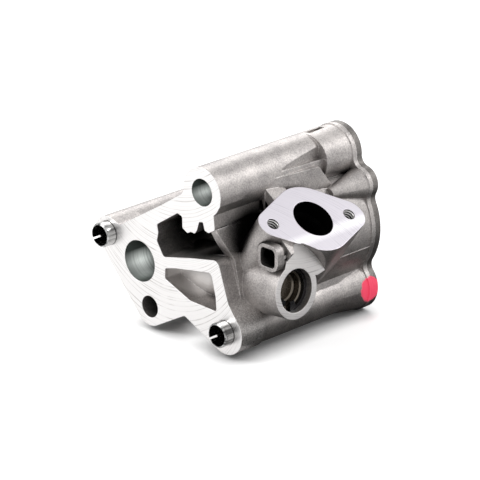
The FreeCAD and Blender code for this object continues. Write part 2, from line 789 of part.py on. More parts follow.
# bores that run along Y, each with its place, radius, start and depth
bores = [
    ("outlet_bore", "Sizes.outlet_x", "Sizes.outlet_z", "Sizes.outlet_bore_radius", "0",
     "Sizes.outlet_bore_depth"),
    ("foot_hole", "Sizes.foot_x", "Sizes.foot_z", "Sizes.foot_hole_radius", "0", "Sizes.foot_boss_length"),
    ("top_hole", "Sizes.top_x", "Sizes.top_z", "Sizes.top_hole_radius", "0", "Sizes.rear_face"),
    ("lower_hole", "0", "0", "Sizes.dowel_hole_radius", "0", "Sizes.rear_face"),
    ("left_hole", "Sizes.left_dowel_x", "Sizes.left_dowel_z", "Sizes.dowel_hole_radius", "0",
     "Sizes.left_boss_length"),
    ("lower_dowel_seat", "0", "0", "Sizes.dowel_radius + Sizes.seat_clearance", "0", "Sizes.dowel_seat_depth"),
    ("left_dowel_seat", "Sizes.left_dowel_x", "Sizes.left_dowel_z",
     "Sizes.dowel_radius + Sizes.seat_clearance", "0", "Sizes.dowel_seat_depth"),
    ("rotor_chamber", "Sizes.chamber_x", "Sizes.chamber_z",
     "Sizes.outer_rotor_radius + Sizes.rotor_side_clearance",
     "Sizes.rear_face - Sizes.rotor_width - 2 * Sizes.rotor_end_clearance",
     "Sizes.rotor_width + 2 * Sizes.rotor_end_clearance"),
    ("front_bush_seat", "Sizes.chamber_x", "Sizes.chamber_z - Sizes.eccentricity",
     "Sizes.shaft_radius + Sizes.bush_wall + Sizes.running_clearance + Sizes.seat_clearance",
     "Sizes.shaft_front", "Sizes.rear_face - Sizes.rotor_width - Sizes.shaft_front"),
]
for name, angle in screw_angles.items():
    x, z = lobe_place(angle, "screw_circle_radius")
    bores.append((f"screw_hole_{name}", x, z, "Sizes.screw_radius + Sizes.seat_clearance",
                  "Sizes.rear_face - Sizes.screw_length", "Sizes.screw_length"))
for name, angle in pin_angles.items():
    x, z = lobe_place(angle, "pin_circle_radius")
    bores.append((f"pin_hole_{name}", x, z, "Sizes.pin_radius + Sizes.seat_clearance",
                  "Sizes.rear_face - Sizes.pin_length + Sizes.cover_thickness",
                  "Sizes.pin_length - Sizes.cover_thickness"))
for name, x, z, radius, start, depth in bores:
    ring = circle_sketch(casting, name + "_circle", (x, z, "-(" + start + ")"), radius)
    pocket(casting, name, ring, depth)

# kidney ports in the chamber's front wall
port_inner = size("port_inner_radius")
port_outer = size("port_outer_radius")


def kidney_sketch(name, middle):
    sketch = new_sketch(casting, name, at=("Sizes.chamber_x", "Sizes.chamber_z",
                                           "-(Sizes.rear_face - Sizes.rotor_width + 1)"))
    angles = [math.radians(middle + side * size("port_half_angle")) for side in (-1, 0, 1)]
    inner = [Vector(port_inner * math.cos(a), port_inner * math.sin(a), 0) for a in angles]
    outer = [Vector(port_outer * math.cos(a), port_outer * math.sin(a), 0) for a in angles]
    sketch.addGeometry([
        Part.Arc(*inner),
        Part.Arc(*outer),
        Part.LineSegment(inner[0], outer[0]),
        Part.LineSegment(inner[2], outer[2]),
    ], False)
    return sketch


pocket(casting, "suction_port", kidney_sketch("suction_port_outline", 0), "Sizes.suction_port_depth + 1", True)
pocket(casting, "outlet_port", kidney_sketch("outlet_port_outline", 180), "Sizes.outlet_port_depth + 1", True)

# cross bores: gallery from the left end, relief bore from the right, suction bore from the flange
gallery_bore = circle_sketch(casting, "gallery_bore_circle", gallery_at, "Sizes.gallery_radius", "YZ_Plane")
pocket(casting, "gallery_bore", gallery_bore, gallery_length)
relief_bore = circle_sketch(casting, "relief_bore_circle", relief_at, "Sizes.relief_bore_radius", "YZ_Plane",
                            relief_turn)
pocket(casting, "relief_bore", relief_bore, "Sizes.relief_bore_depth")
passage = circle_sketch(casting, "relief_passage_circle", relief_at, "Sizes.relief_passage_radius", "YZ_Plane",
                        relief_turn)
pocket(casting, "relief_passage", passage, "Sizes.relief_barrel_length")
pocket(casting, "spot_face", fan_sketch("spot_face_outline"), "Sizes.spot_face_reach", True)
suction_bore = circle_sketch(casting, "suction_bore_circle", flange_at, "Sizes.suction_bore_radius", "YZ_Plane",
                             flange_turn)
pocket(casting, "suction_bore", suction_bore, "Sizes.suction_bore_depth")


groove_x, groove_z = relief_point("Sizes.ring_depth")
groove = circle_sketch(casting, "ring_groove_circle", ("Sizes.relief_y", groove_z, groove_x),
                       "Sizes.relief_bore_radius + Sizes.ring_groove", "YZ_Plane", relief_turn)
pocket(casting, "ring_groove", groove, "Sizes.ring_thickness + 0.1")
spill_x, _ = relief_point("Sizes.spill_port_reach")
spill = circle_sketch(casting, "spill_port_circle", (spill_x, "Sizes.relief_y", "Sizes.relief_z"),
                      "Sizes.spill_port_radius", "XY_Plane")
pocket(casting, "spill_port", spill, "Sizes.spill_port_depth", True)

# tapped holes of the flange
for side in ("left", "right"):
    rise = "Sizes.flange_left_rise" if side == "left" else "Sizes.flange_right_drop"
    turn = math.radians(size("flange_angle"))
    hole_at = (
        f"Sizes.flange_y + Sizes.flange_{side}",
        f"Sizes.flange_z + {rise} * {math.cos(turn):.6f}",
        f"Sizes.flange_x - {rise} * {math.sin(turn):.6f}",
    )
    ring = circle_sketch(casting, f"flange_hole_{side}_circle", hole_at, "Sizes.flange_hole_radius", "YZ_Plane",
                         flange_turn)
    pocket(casting, f"flange_hole_{side}", ring, "Sizes.flange_hole_depth")

# rounded square port of the stub boss and the cored recess of the flange lug
port_outline = square_outline(size("stub_port") / 2, size("stub_port_corner"))
port_sketch = outline_sketch(casting, "stub_port_outline", port_outline, at=stub_at)
pocket(casting, "stub_port", port_sketch, "Sizes.stub_port_depth")
recess_at = ("Sizes.lug_recess_x", "Sizes.lug_recess_z", "-Sizes.lug_recess_y")
lug_recess = circle_sketch(casting, "lug_recess_circle", recess_at, "Sizes.lug_recess_radius")
pocket(casting, "lug_recess", lug_recess, "Sizes.lug_recess_depth")


# hollow dowel sleeves in the two bolt holes of the mounting face
def dowel_sleeve(label, x, z):
    sleeve = new_body(label)
    outer = size("dowel_radius")
    inner = size("dowel_inner_radius")
    length = size("dowel_length")
    edge = size("dowel_edge")
    # a narrow groove where the sleeve leaves the casting
    face = length - size("dowel_seat_depth")
    groove_half = size("dowel_groove") / 2
    groove_radius = outer - size("dowel_groove_depth")
    profile = [
        (inner, 0),
        (outer - edge, 0),
        (outer, edge),
        (outer, face - groove_half),
        (groove_radius, face - groove_half),
        (groove_radius, face + groove_half),
        (outer, face + groove_half),
        (outer, length - edge),
        (outer - edge, length),
        (inner, length),
    ]
    revolve(sleeve, "tube", polygon_sketch(sleeve, "wall", profile))
    slot = size("dowel_slot") / 2
    slot_outline = [(inner - 1, -slot), (outer + 1, -slot), (outer + 1, slot), (inner - 1, slot)]
    slot_sketch = polygon_sketch(sleeve, "slot_outline", slot_outline, "XY_Plane",
                                 rotation=Rotation(Vector(0, 0, 1), 150))
    pocket(sleeve, "slot", slot_sketch, "Sizes.dowel_length", True)
    place_body(sleeve, (x, "Sizes.dowel_seat_depth - Sizes.dowel_length", z), Rotation(Vector(1, 0, 0), -90))


dowel_sleeve("dowel_sleeve_lower", "0", "0")
dowel_sleeve("dowel_sleeve_left", "Sizes.left_dowel_x", "Sizes.left_dowel_z")

# rear cover with the shaft's hub
cover = new_body("rear_cover")
rear_plate(cover, "-Sizes.rear_face", "Sizes.cover_thickness")
shaft_z = "Sizes.chamber_z - Sizes.eccentricity"
hub = circle_sketch(cover, "hub_circle", ("Sizes.chamber_x", shaft_z, "-Sizes.rear_face"), "Sizes.cover_hub_radius")
pad(cover, "hub", hub, "Sizes.cover_thickness + Sizes.cover_hub_height")
cover_bores = [
    ("bush_seat", "Sizes.chamber_x", shaft_z,
     "Sizes.shaft_radius + Sizes.bush_wall + Sizes.running_clearance + Sizes.seat_clearance", "Sizes.rear_face",
     "Sizes.cover_thickness + Sizes.cover_hub_height"),
    ("top_bolt_hole", "Sizes.top_x", "Sizes.top_z", "Sizes.top_hole_radius", "Sizes.rear_face",
     "Sizes.cover_thickness"),
    ("lower_bolt_hole", "0", "0", "Sizes.dowel_hole_radius", "Sizes.rear_face", "Sizes.cover_thickness"),
]
for name, angle in screw_angles.items():
    x, z = lobe_place(angle, "screw_circle_radius")
    cover_bores.append((f"screw_hole_{name}", x, z, "Sizes.screw_radius + Sizes.seat_clearance",
                        "Sizes.rear_face", "Sizes.cover_thickness"))
for name, angle in pin_angles.items():
    x, z = lobe_place(angle, "pin_circle_radius")
    cover_bores.append((f"pin_hole_{name}", x, z, "Sizes.pin_radius + Sizes.seat_clearance",
                        "Sizes.rear_face", "Sizes.cover_thickness"))
for name, x, z, radius, start, depth in cover_bores:
    ring = circle_sketch(cover, name + "_circle", (x, z, "-(" + start + ")"), radius)
    pocket(cover, name, ring, depth)


# countersunk screws: their heads lie flush in the cover
def screw_profile(gap):
    radius = size("screw_radius") + gap
    head = size("screw_head_radius") + gap
    height = size("screw_head_height")
    return radius, head, height


for name, angle in screw_angles.items():
    x, z = lobe_place(angle, "screw_circle_radius")
    radius, head, height = screw_profile(size("seat_clearance"))
    sink = new_sketch(cover, f"countersink_{name}_profile", "XY_Plane",
                      (x, "Sizes.rear_face + Sizes.cover_thickness", z))
    rim = 0.3
    points = [Vector(0, 0, 0), Vector(head, 0, 0), Vector(head, -rim, 0), Vector(radius, -height - rim, 0),
              Vector(0, -height - rim, 0)]
    for first, last in zip(points, points[1:] + points[:1]):
        sink.addGeometry(Part.LineSegment(first, last), False)
    cut = cover.newObject("PartDesign::Groove", f"countersink_{name}")
    cut.Profile = sink
    cut.ReferenceAxis = (sink, ["V_Axis"])
    cut.Angle = 360
    cover.Tip = cut

    screw = new_body(f"cover_screw_{name}")
    radius, head, height = screw_profile(0)
    length = size("screw_length") + size("cover_thickness") - 1.0
    rim = rim - 0.05
    chamfer = 0.5
    outline = [(0, 0), (head, 0), (head, -rim), (radius, -height - rim), (radius, -length + chamfer),
               (radius - chamfer, -length), (0, -length)]
    revolve(screw, "shank", polygon_sketch(screw, "shank_profile", outline))
    socket = new_sketch(screw, "socket_outline", "XY_Plane")
    socket_radius = size("screw_socket_radius")
    hexagon = [Vector(socket_radius * math.cos(math.pi * k / 3), socket_radius * math.sin(math.pi * k / 3), 0)
               for k in range(6)]
    for first, last in zip(hexagon, hexagon[1:] + hexagon[:1]):
        socket.addGeometry(Part.LineSegment(first, last), False)
    pocket(screw, "socket", socket, "Sizes.screw_socket_depth")
    place_body(screw, (x, "Sizes.rear_face + Sizes.cover_thickness", z), Rotation(Vector(1, 0, 0), -90))

for name, angle in pin_angles.items():
    x, z = lobe_place(angle, "pin_circle_radius")
    pin = new_body(f"cover_pin_{name}")
    radius = size("pin_radius")
    length = size("pin_length") - 2 * size("pin_set_in")
    edge = size("pin_edge")
    outline = [(0, 0), (radius - edge, 0), (radius, edge), (radius, length - edge), (radius - edge, length),
               (0, length)]
    revolve(pin, "pin", polygon_sketch(pin, "pin_profile", outline))
    place_body(pin, (x, "Sizes.rear_face - Sizes.pin_length + Sizes.cover_thickness + Sizes.pin_set_in", z),
               Rotation(Vector(1, 0, 0), -90))


# Rotor set. The inner rotor's flank is the path of an outer lobe's centre, offset inwards
# by the lobe radius: the lobe centre runs on a circle while the eccentric axis goes round.
lobe_radius = size("outer_lobe_radius")
lobe_circle = size("outer_lobe_circle")
offset = size("eccentricity")


def inner_flank(turn):
    x = lobe_circle * math.cos(turn) + offset * math.cos(outer_lobes * turn)
    y = lobe_circle * math.sin(turn) + offset * math.sin(outer_lobes * turn)
    dx = -lobe_circle * math.sin(turn) - outer_lobes * offset * math.sin(outer_lobes * turn)
    dy = lobe_circle * math.cos(turn) + outer_lobes * offset * math.cos(outer_lobes * turn)
    speed = math.hypot(dx, dy)
    inset = lobe_radius + size("rotor_tip_clearance")
    return Vector(x - inset * dy / speed, y + inset * dx / speed, 0)


shaft_place = ("Sizes.chamber_x", "Sizes.rear_face - Sizes.rotor_width - Sizes.rotor_end_clearance", shaft_z)
# turns local Z to +Y and local X to +Z
rotor_turn = Rotation(Vector(0, 0, 1), Vector(1, 0, 0), Vector(0, 1, 0), "ZXY")
inner_rotor = new_body("inner_rotor")
flank_sketch = new_sketch(inner_rotor, "flank", "XY_Plane")
flank_count = inner_lobes * points_per_lobe
flank = [inner_flank(2 * math.pi * k / flank_count) for k in range(flank_count + 1)]
flank[-1] = flank[0]
for k in range(0, flank_count, 2):
    flank_sketch.addGeometry(Part.Arc(flank[k], flank[k + 1], flank[k + 2]), False)
pad(inner_rotor, "rotor", flank_sketch, "Sizes.rotor_width", False)
shaft_hole = circle_sketch(inner_rotor, "shaft_hole_circle", ("0", "0", "0"),
                           "Sizes.shaft_radius + Sizes.seat_clearance", "XY_Plane")
pocket(inner_rotor, "shaft_hole", shaft_hole, "Sizes.rotor_width", True)
slot_half = size("drive_pin_radius") + size("drive_slot_gap")
slot_reach = size("drive_pin_length") / 2 + 4 * size("drive_slot_gap")
slot_sketch = polygon_sketch(inner_rotor, "drive_slot_outline", [
    (-slot_reach, -slot_half), (slot_reach, -slot_half), (slot_reach, slot_half), (-slot_reach, slot_half)],
    "XY_Plane")
pocket(inner_rotor, "drive_slot", slot_sketch, "Sizes.drive_slot_depth", True)
place_body(inner_rotor, shaft_place, rotor_turn)

outer_rotor = new_body("outer_rotor")
ring = circle_sketch(outer_rotor, "rim_circle", ("0", "0", "0"), "Sizes.outer_rotor_radius", "XY_Plane")
root_radius = lobe_circle - lobe_radius + 2 * offset + size("rotor_tip_clearance")
cosine = (root_radius ** 2 + lobe_circle ** 2 - lobe_radius ** 2) / (2 * root_radius * lobe_circle)
lobe_half_angle = math.acos(cosine)
lobe_pitch = 2 * math.pi / outer_lobes


for k in range(outer_lobes):
    turn = k * lobe_pitch
    start = polar(root_radius, turn - lobe_half_angle)
    end = polar(root_radius, turn + lobe_half_angle)
    following = polar(root_radius, turn + lobe_pitch - lobe_half_angle)
    ring.addGeometry(Part.Arc(start, polar(lobe_circle - lobe_radius, turn), end), False)
    ring.addGeometry(Part.Arc(end, polar(root_radius, turn + lobe_pitch / 2), following), False)
pad(outer_rotor, "rotor", ring, "Sizes.rotor_width", False)
place_body(outer_rotor, ("Sizes.chamber_x", shaft_place[1], "Sizes.chamber_z"), rotor_turn)

# drive shaft with its nose for the chain wheel, flats and tapped end
shaft = new_body("drive_shaft")
shaft_radius = size("shaft_radius")
shaft_length = size("shaft_rear") - size("shaft_front")
nose_start = shaft_length - size("shaft_nose_length")
nose_radius = size("shaft_nose_radius")
edge = size("shaft_edge")
shaft_outline = [
    (0, 0),
    (shaft_radius - edge, 0),
    (shaft_radius, edge),
    (shaft_radius, nose_start),
    (nose_radius, nose_start),
    (nose_radius, shaft_length - edge),
    (nose_radius - edge, shaft_length),
    (0, shaft_length),
]
revolve(shaft, "journal", polygon_sketch(shaft, "journal_profile", shaft_outline))
flat = size("shaft_flat_distance")
for side in (-1, 1):
    flat_outline = [(-10, side * flat), (10, side * flat), (10, side * 10), (-10, side * 10)]
    flat_sketch = polygon_sketch(shaft, f"flat_outline_{side + 1}", flat_outline, "XY_Plane",
                                 ("0", "0", "Sizes.shaft_rear - Sizes.shaft_front"))
    pocket(shaft, f"flat_{side + 1}", flat_sketch, "Sizes.shaft_nose_length - 2")
thread = circle_sketch(shaft, "thread_circle", ("0", "0", "Sizes.shaft_rear - Sizes.shaft_front"),
                       "Sizes.shaft_thread_radius", "XY_Plane")
pocket(shaft, "end_thread", thread, "Sizes.shaft_thread_depth")
pin_height = "Sizes.rear_face - Sizes.rotor_width + Sizes.drive_pin_radius + 1.2"
pin_hole = circle_sketch(shaft, "pin_hole_circle", ("0", pin_height + " - Sizes.shaft_front", "0"),
                         "Sizes.drive_pin_radius + Sizes.seat_clearance", "YZ_Plane")
pocket(shaft, "pin_hole", pin_hole, "4 * Sizes.shaft_radius", midplane=True)
place_body(shaft, ("Sizes.chamber_x", "Sizes.shaft_front", shaft_z), rotor_turn)

drive_pin = new_body("rotor_drive_pin")
pin_half = size("drive_pin_length") / 2
pin_radius = size("drive_pin_radius")
pin_edge = 0.3
pin_outline = [(0, -pin_half), (pin_radius - pin_edge, -pin_half), (pin_radius, -pin_half + pin_edge),
               (pin_radius, pin_half - pin_edge), (pin_radius - pin_edge, pin_half), (0, pin_half)]
revolve(drive_pin, "pin", polygon_sketch(drive_pin, "pin_profile", pin_outline))
place_body(drive_pin, ("Sizes.chamber_x", pin_height, shaft_z))


# plain bushes of the shaft
def bush(label, start, length):
    sleeve = new_body(label)
    inner = size("shaft_radius") + size("running_clearance")
    outer = inner + size("bush_wall")
    bush_edge = size("bush_edge")
    profile = [(inner, 0), (outer - bush_edge, 0), (outer, bush_edge), (outer, length - bush_edge),
               (outer - bush_edge, length), (inner, length)]
    revolve(sleeve, "bush", polygon_sketch(sleeve, "bush_profile", profile))
    place_body(sleeve, ("Sizes.chamber_x", start, shaft_z), Rotation(Vector(1, 0, 0), -90))


front_bush_start = "Sizes.rear_face - Sizes.rotor_width - Sizes.bush_set_in - Sizes.bush_length"
bush("shaft_bush_front", front_bush_start, size("bush_length"))
rear_bush_length = size("cover_thickness") + size("cover_hub_height") - 2 * size("bush_set_in")
bush("shaft_bush_rear", "Sizes.rear_face + Sizes.bush_set_in", rear_bush_length)


# Relief valve pieces lie along the barrel's axis, measured inwards from its mouth.
def place_on_relief_axis(body, reach):
    x, z = relief_point(reach)
    # local Z points into the bore
    turn = Rotation(Vector(0, 1, 0), -90 - size("relief_angle"))
    place_body(body, (x, "Sizes.relief_y", z), turn)


bore = size("relief_bore_radius")
retainer = new_body("relief_retaining_ring")
ring_outer = bore + size("ring_groove") - 0.1
ring_width = 1.9
lug_angle = 24.0
opening = math.radians(14.0)


def ring_arc(radius, start, end):
    return Part.Arc(polar(radius, start), polar(radius, (start + end) / 2), polar(radius, end))


ring_sketch = new_sketch(retainer, "ring_outline", "XY_Plane", rotation=Rotation(Vector(0, 0, 1), 200))
lug_start = opening + math.radians(lug_angle)
lug_radius = ring_outer - 4.3
body_radius = ring_outer - ring_width
full = 2 * math.pi
ring_sketch.addGeometry([
    ring_arc(ring_outer, opening, full - opening),
    Part.LineSegment(polar(ring_outer, opening), polar(lug_radius, opening)),
    ring_arc(lug_radius, opening, lug_start),
    Part.LineSegment(polar(lug_radius, lug_start), polar(body_radius, lug_start)),
    ring_arc(body_radius, lug_start, full - lug_start),
    Part.LineSegment(polar(body_radius, full - lug_start), polar(lug_radius, full - lug_start)),
    ring_arc(lug_radius, full - lug_start, full - opening),
    Part.LineSegment(polar(lug_radius, full - opening), polar(ring_outer, full - opening)),
], False)
pad(retainer, "ring", ring_sketch, "Sizes.ring_thickness", False)
place_on_relief_axis(retainer, "Sizes.ring_depth + 0.05")

seat = new_body("relief_spring_seat")
sheet_thickness = size("spring_seat_rim")
cup_radius = size("spring_seat_cup_radius")
cup_depth = size("spring_seat_cup_depth")
seat_outer = bore - 0.05
cup_inner = cup_radius - sheet_thickness
seat_outline = [
    corner(0, cup_depth - sheet_thickness),
    corner(cup_inner, cup_depth - sheet_thickness, 1.2),
    corner(cup_inner, 0, 0.8),
    corner(seat_outer, 0),
    corner(seat_outer, sheet_thickness),
    corner(cup_radius, sheet_thickness, 0.2),
    corner(cup_radius, cup_depth, 1.6),
    corner(0, cup_depth),
]
revolve(seat, "cup", outline_sketch(seat, "cup_profile", seat_outline))
seat_reach = "Sizes.ring_depth + Sizes.ring_thickness + 0.1"
place_on_relief_axis(seat, seat_reach)

piston = new_body("relief_piston")
piston_length = size("piston_length")
piston_outer = bore - size("running_clearance")
piston_inner = size("piston_cup_radius")
piston_edge = 0.8
piston_outline = [
    (0, piston_length - size("piston_nose")),
    (piston_inner, piston_length - size("piston_nose")),
    (piston_inner, 0),
    (piston_outer - piston_edge, 0),
    (piston_outer, piston_edge),
    (piston_outer, piston_length - piston_edge),
    (piston_outer - piston_edge, piston_length),
    (0, piston_length),
]
revolve(piston, "piston", polygon_sketch(piston, "piston_profile", piston_outline))
place_on_relief_axis(piston, "Sizes.relief_bore_depth - Sizes.piston_length")

# spring from the seat's rim to the floor of the piston, as a closed coil
spring_start = size("ring_depth") + size("ring_thickness") + 0.1 + cup_depth + 0.05
spring_end = size("relief_bore_depth") - size("piston_nose") - 0.05
wire = size("spring_wire_radius")
coil = size("spring_coil_radius")
spring_rise = spring_end - spring_start - 2 * wire
# the coil runs in short straight steps and its wire has flat sides, which keeps its faces few
steps_per_turn = 16
wire_sides = 8
spring_steps = round(steps_per_turn * size("spring_turns"))
spring_points = []
for k in range(spring_steps + 1):
    spring_points.append(polar(coil, 2 * math.pi * k / steps_per_turn) + Vector(0, 0, spring_rise * k / spring_steps))
wire_along = (spring_points[1] - spring_points[0]).normalize()
wire_out = (Vector(1, 0, 0) - wire_along * wire_along.x).normalize()
wire_up = wire_along.cross(wire_out)
wire_corners = []
for k in range(wire_sides + 1):
    turn = 2 * math.pi * k / wire_sides
    wire_corners.append(spring_points[0] + wire_out * (wire * math.cos(turn)) + wire_up * (wire * math.sin(turn)))
spring_path = Part.makePolygon(spring_points)
spring = document.addObject("Part::Feature", "relief_spring")
spring.Label = "relief_spring"
mitred = 1
spring.Shape = spring_path.makePipeShell([Part.makePolygon(wire_corners)], True, False, mitred)
relief_radians = math.radians(size("relief_angle"))
spring_reach = spring_start + wire
spring.Placement = Placement(
    Vector(size("relief_x") - spring_reach * math.cos(relief_radians), size("relief_y"),
           size("relief_z") - spring_reach * math.sin(relief_radians)),
    Rotation(Vector(0, 1, 0), -90 - size("relief_angle")))
bodies.append(spring)

# cup plug that closes the gallery's drilled end
plug = new_body("gallery_plug")
plug_radius = size("gallery_radius") - size("seat_clearance")
plug_length = size("gallery_plug_length")
plug_wall = 1.0
plug_outline = [(0, plug_length - plug_wall), (plug_radius - plug_wall, plug_length - plug_wall),
                (plug_radius - plug_wall, 0), (plug_radius, 0), (plug_radius, plug_length), (0, plug_length)]
revolve(plug, "cup", polygon_sketch(plug, "cup_profile", plug_outline))
place_body(plug, ("Sizes.outlet_x - Sizes.outlet_bore_radius - Sizes.outlet_wall - 0.6", "Sizes.gallery_y",
                  "Sizes.gallery_z"), Rotation(Vector(0, 1, 0), 90))

document.recompute()
broken = [item.Name for item in document.Objects if "Invalid" in item.State or "Error" in item.State]
if broken:
    raise RuntimeError("features that failed: " + ", ".join(broken))
for item in bodies:
    shape = item.Shape
    if shape.isNull() or not shape.isValid():
        raise RuntimeError(item.Label + " has no valid shape")
os.makedirs("parts", exist_ok=True)
for item in bodies:
    item.Shape.exportStep(f"parts/{item.Label}.step")
    print(item.Label, len(item.Shape.Solids), round(item.Shape.Volume, 1))
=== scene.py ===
import bmesh
import bpy
import math
from mathutils import Matrix, Vector


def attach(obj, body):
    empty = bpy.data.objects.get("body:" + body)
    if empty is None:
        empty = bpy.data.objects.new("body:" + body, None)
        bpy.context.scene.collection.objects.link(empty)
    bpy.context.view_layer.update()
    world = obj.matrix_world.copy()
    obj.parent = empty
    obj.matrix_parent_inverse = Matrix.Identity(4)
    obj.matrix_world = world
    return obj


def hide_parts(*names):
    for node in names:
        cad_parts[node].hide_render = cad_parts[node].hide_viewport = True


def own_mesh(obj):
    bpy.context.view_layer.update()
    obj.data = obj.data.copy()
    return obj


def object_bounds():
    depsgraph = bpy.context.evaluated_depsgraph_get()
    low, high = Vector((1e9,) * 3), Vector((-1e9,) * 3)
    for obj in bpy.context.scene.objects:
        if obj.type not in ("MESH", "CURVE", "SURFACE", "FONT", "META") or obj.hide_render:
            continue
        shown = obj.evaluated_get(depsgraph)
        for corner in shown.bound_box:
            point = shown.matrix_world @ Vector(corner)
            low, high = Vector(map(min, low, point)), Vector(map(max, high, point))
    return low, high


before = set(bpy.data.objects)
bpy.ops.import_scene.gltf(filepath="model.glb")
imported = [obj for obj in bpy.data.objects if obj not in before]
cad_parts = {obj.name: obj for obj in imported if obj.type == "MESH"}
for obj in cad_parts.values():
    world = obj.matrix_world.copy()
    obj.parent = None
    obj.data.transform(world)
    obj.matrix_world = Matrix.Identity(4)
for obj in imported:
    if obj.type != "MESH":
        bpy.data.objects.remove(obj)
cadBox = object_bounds()
mm = 0.001  # metres in a millimetre
print("pump frame loaded")


def linear(hexColour):  # sRGB hex to linear colour
    channels = [int(hexColour[i:i + 2], 16) / 255 for i in (1, 3, 5)]
    return [c / 12.92 if c <= 0.04045 else ((c + 0.055) / 1.055) ** 2.4 for c in channels] + [1.0]


def addNode(tree, kind, inputs=None, **settings):  # one node with its settings and links
    node = tree.nodes.new("ShaderNode" + kind)
    for name, value in settings.items():
        setattr(node, name, value)
    for socket, value in (inputs or {}).items():
        if isinstance(value, bpy.types.Node):
            value = next(output for output in value.outputs if output.enabled)
        if isinstance(value, bpy.types.NodeSocket):
            tree.links.new(value, node.inputs[socket])
        else:
            node.inputs[socket].default_value = value
    return node


def newMaterial(name):
    material = bpy.data.materials.new(name)
    material.use_nodes = True
    tree = material.node_tree
    tree.nodes.clear()
    return material, tree


# camera at the photograph's viewing angle
camera = {
    "place": (0.7520, -0.7571, 0.4435),    # m
    "along": (-0.6552, 0.6668, -0.3551),
    "right": (0.7133, 0.7009, 0.0),
    "lens": 225.0,                         # mm
    "sensor": 36.0,                        # mm
    "nearest": 0.02,                       # m
}
along = Vector(camera["along"]).normalized()
right = Vector(camera["right"]).normalized()
up = right.cross(along)
cameraData = bpy.data.cameras.new("photoCamera")
cameraData.lens = camera["lens"]
cameraData.sensor_width = camera["sensor"]
cameraData.clip_start = camera["nearest"]
cameraObject = bpy.data.objects.new("photoCamera", cameraData)
cameraObject.matrix_world = Matrix((
    (right.x, up.x, -along.x, camera["place"][0]),
    (right.y, up.y, -along.y, camera["place"][1]),
    (right.z, up.z, -along.z, camera["place"][2]),
    (0, 0, 0, 1)))
bpy.context.collection.objects.link(cameraObject)
bpy.context.scene.camera = cameraObject
print("camera set")


# places on the casting, in mm
alongY = Vector((0, 1, 0))
flangePlace = Vector((12.9, 35.3, 40.9))  # middle of the pickup flange
flangeTurn = math.radians(55)
flangeNormal = Vector((math.cos(flangeTurn), 0, math.sin(flangeTurn)))
flangeUp = Vector((-math.sin(flangeTurn), 0, math.cos(flangeTurn)))
tappedHoles = [
    flangePlace + alongY * -19.2 + flangeUp * 3.6,
    flangePlace + alongY * 17.2 + flangeUp * -3.6,
]
reliefPlace = Vector((18.7, 20.0, 16.9))  # middle of the relief bore's mouth
reliefTurn = math.radians(5)
reliefAxis = Vector((math.cos(reliefTurn), 0, math.sin(reliefTurn)))
reliefUp = Vector((-math.sin(reliefTurn), 0, math.cos(reliefTurn)))
boredHoles = [  # place, axis and radius of the outlet and the top bolt hole
    (Vector((-47.2, 0, 16.8)), alongY, 8.5),
    (Vector((-12.3, 0, 54.2)), alongY, 5.5),
]
suctionBore = (flangePlace, flangeNormal, 8.5)
# reach of the painted shade in the suction bore
suctionShadeReach = Vector((14, 14, 14))
paintedShadePlaces = [  # centre and reach of the places given painted shade
    (Vector((-20.0, 19.0, 33.0)), Vector((27.0, 19.5, 17.0))),        # hollow above the rib
    (flangePlace - flangeNormal * 11.5, Vector((14.5, 14.5, 14.5))),  # suction bore
    (Vector((-4.0, 17.0, 35.5)), Vector((10.0, 21.0, 8.5))),          # corner under the top tube
    (Vector((12.9, 17.0, 31.6)), Vector((6.2, 10.5, 6.2))),           # stub port
    (reliefPlace - reliefAxis * 12.0, Vector((13.5, 11.0, 11.0))),    # relief bore behind its ring
    (Vector((-41.7, 14.0, -1.0)), Vector((6.0, 15.5, 6.0))),          # blind hole at the foot
]
for hole in tappedHoles:
    paintedShadePlaces.append((hole - flangeNormal * 6.0, Vector((8.2, 8.2, 8.2))))
coarsePlace = (Vector((5.0, 5.5, 1.0)), Vector((13.0, 8.5, 13.0)))    # front of the lower boss
paintedLightPlace = (Vector((-30.0, 9.5, 14.0)), Vector((17.0, 10.5, 9.5)))  # window below the rib, given painted light
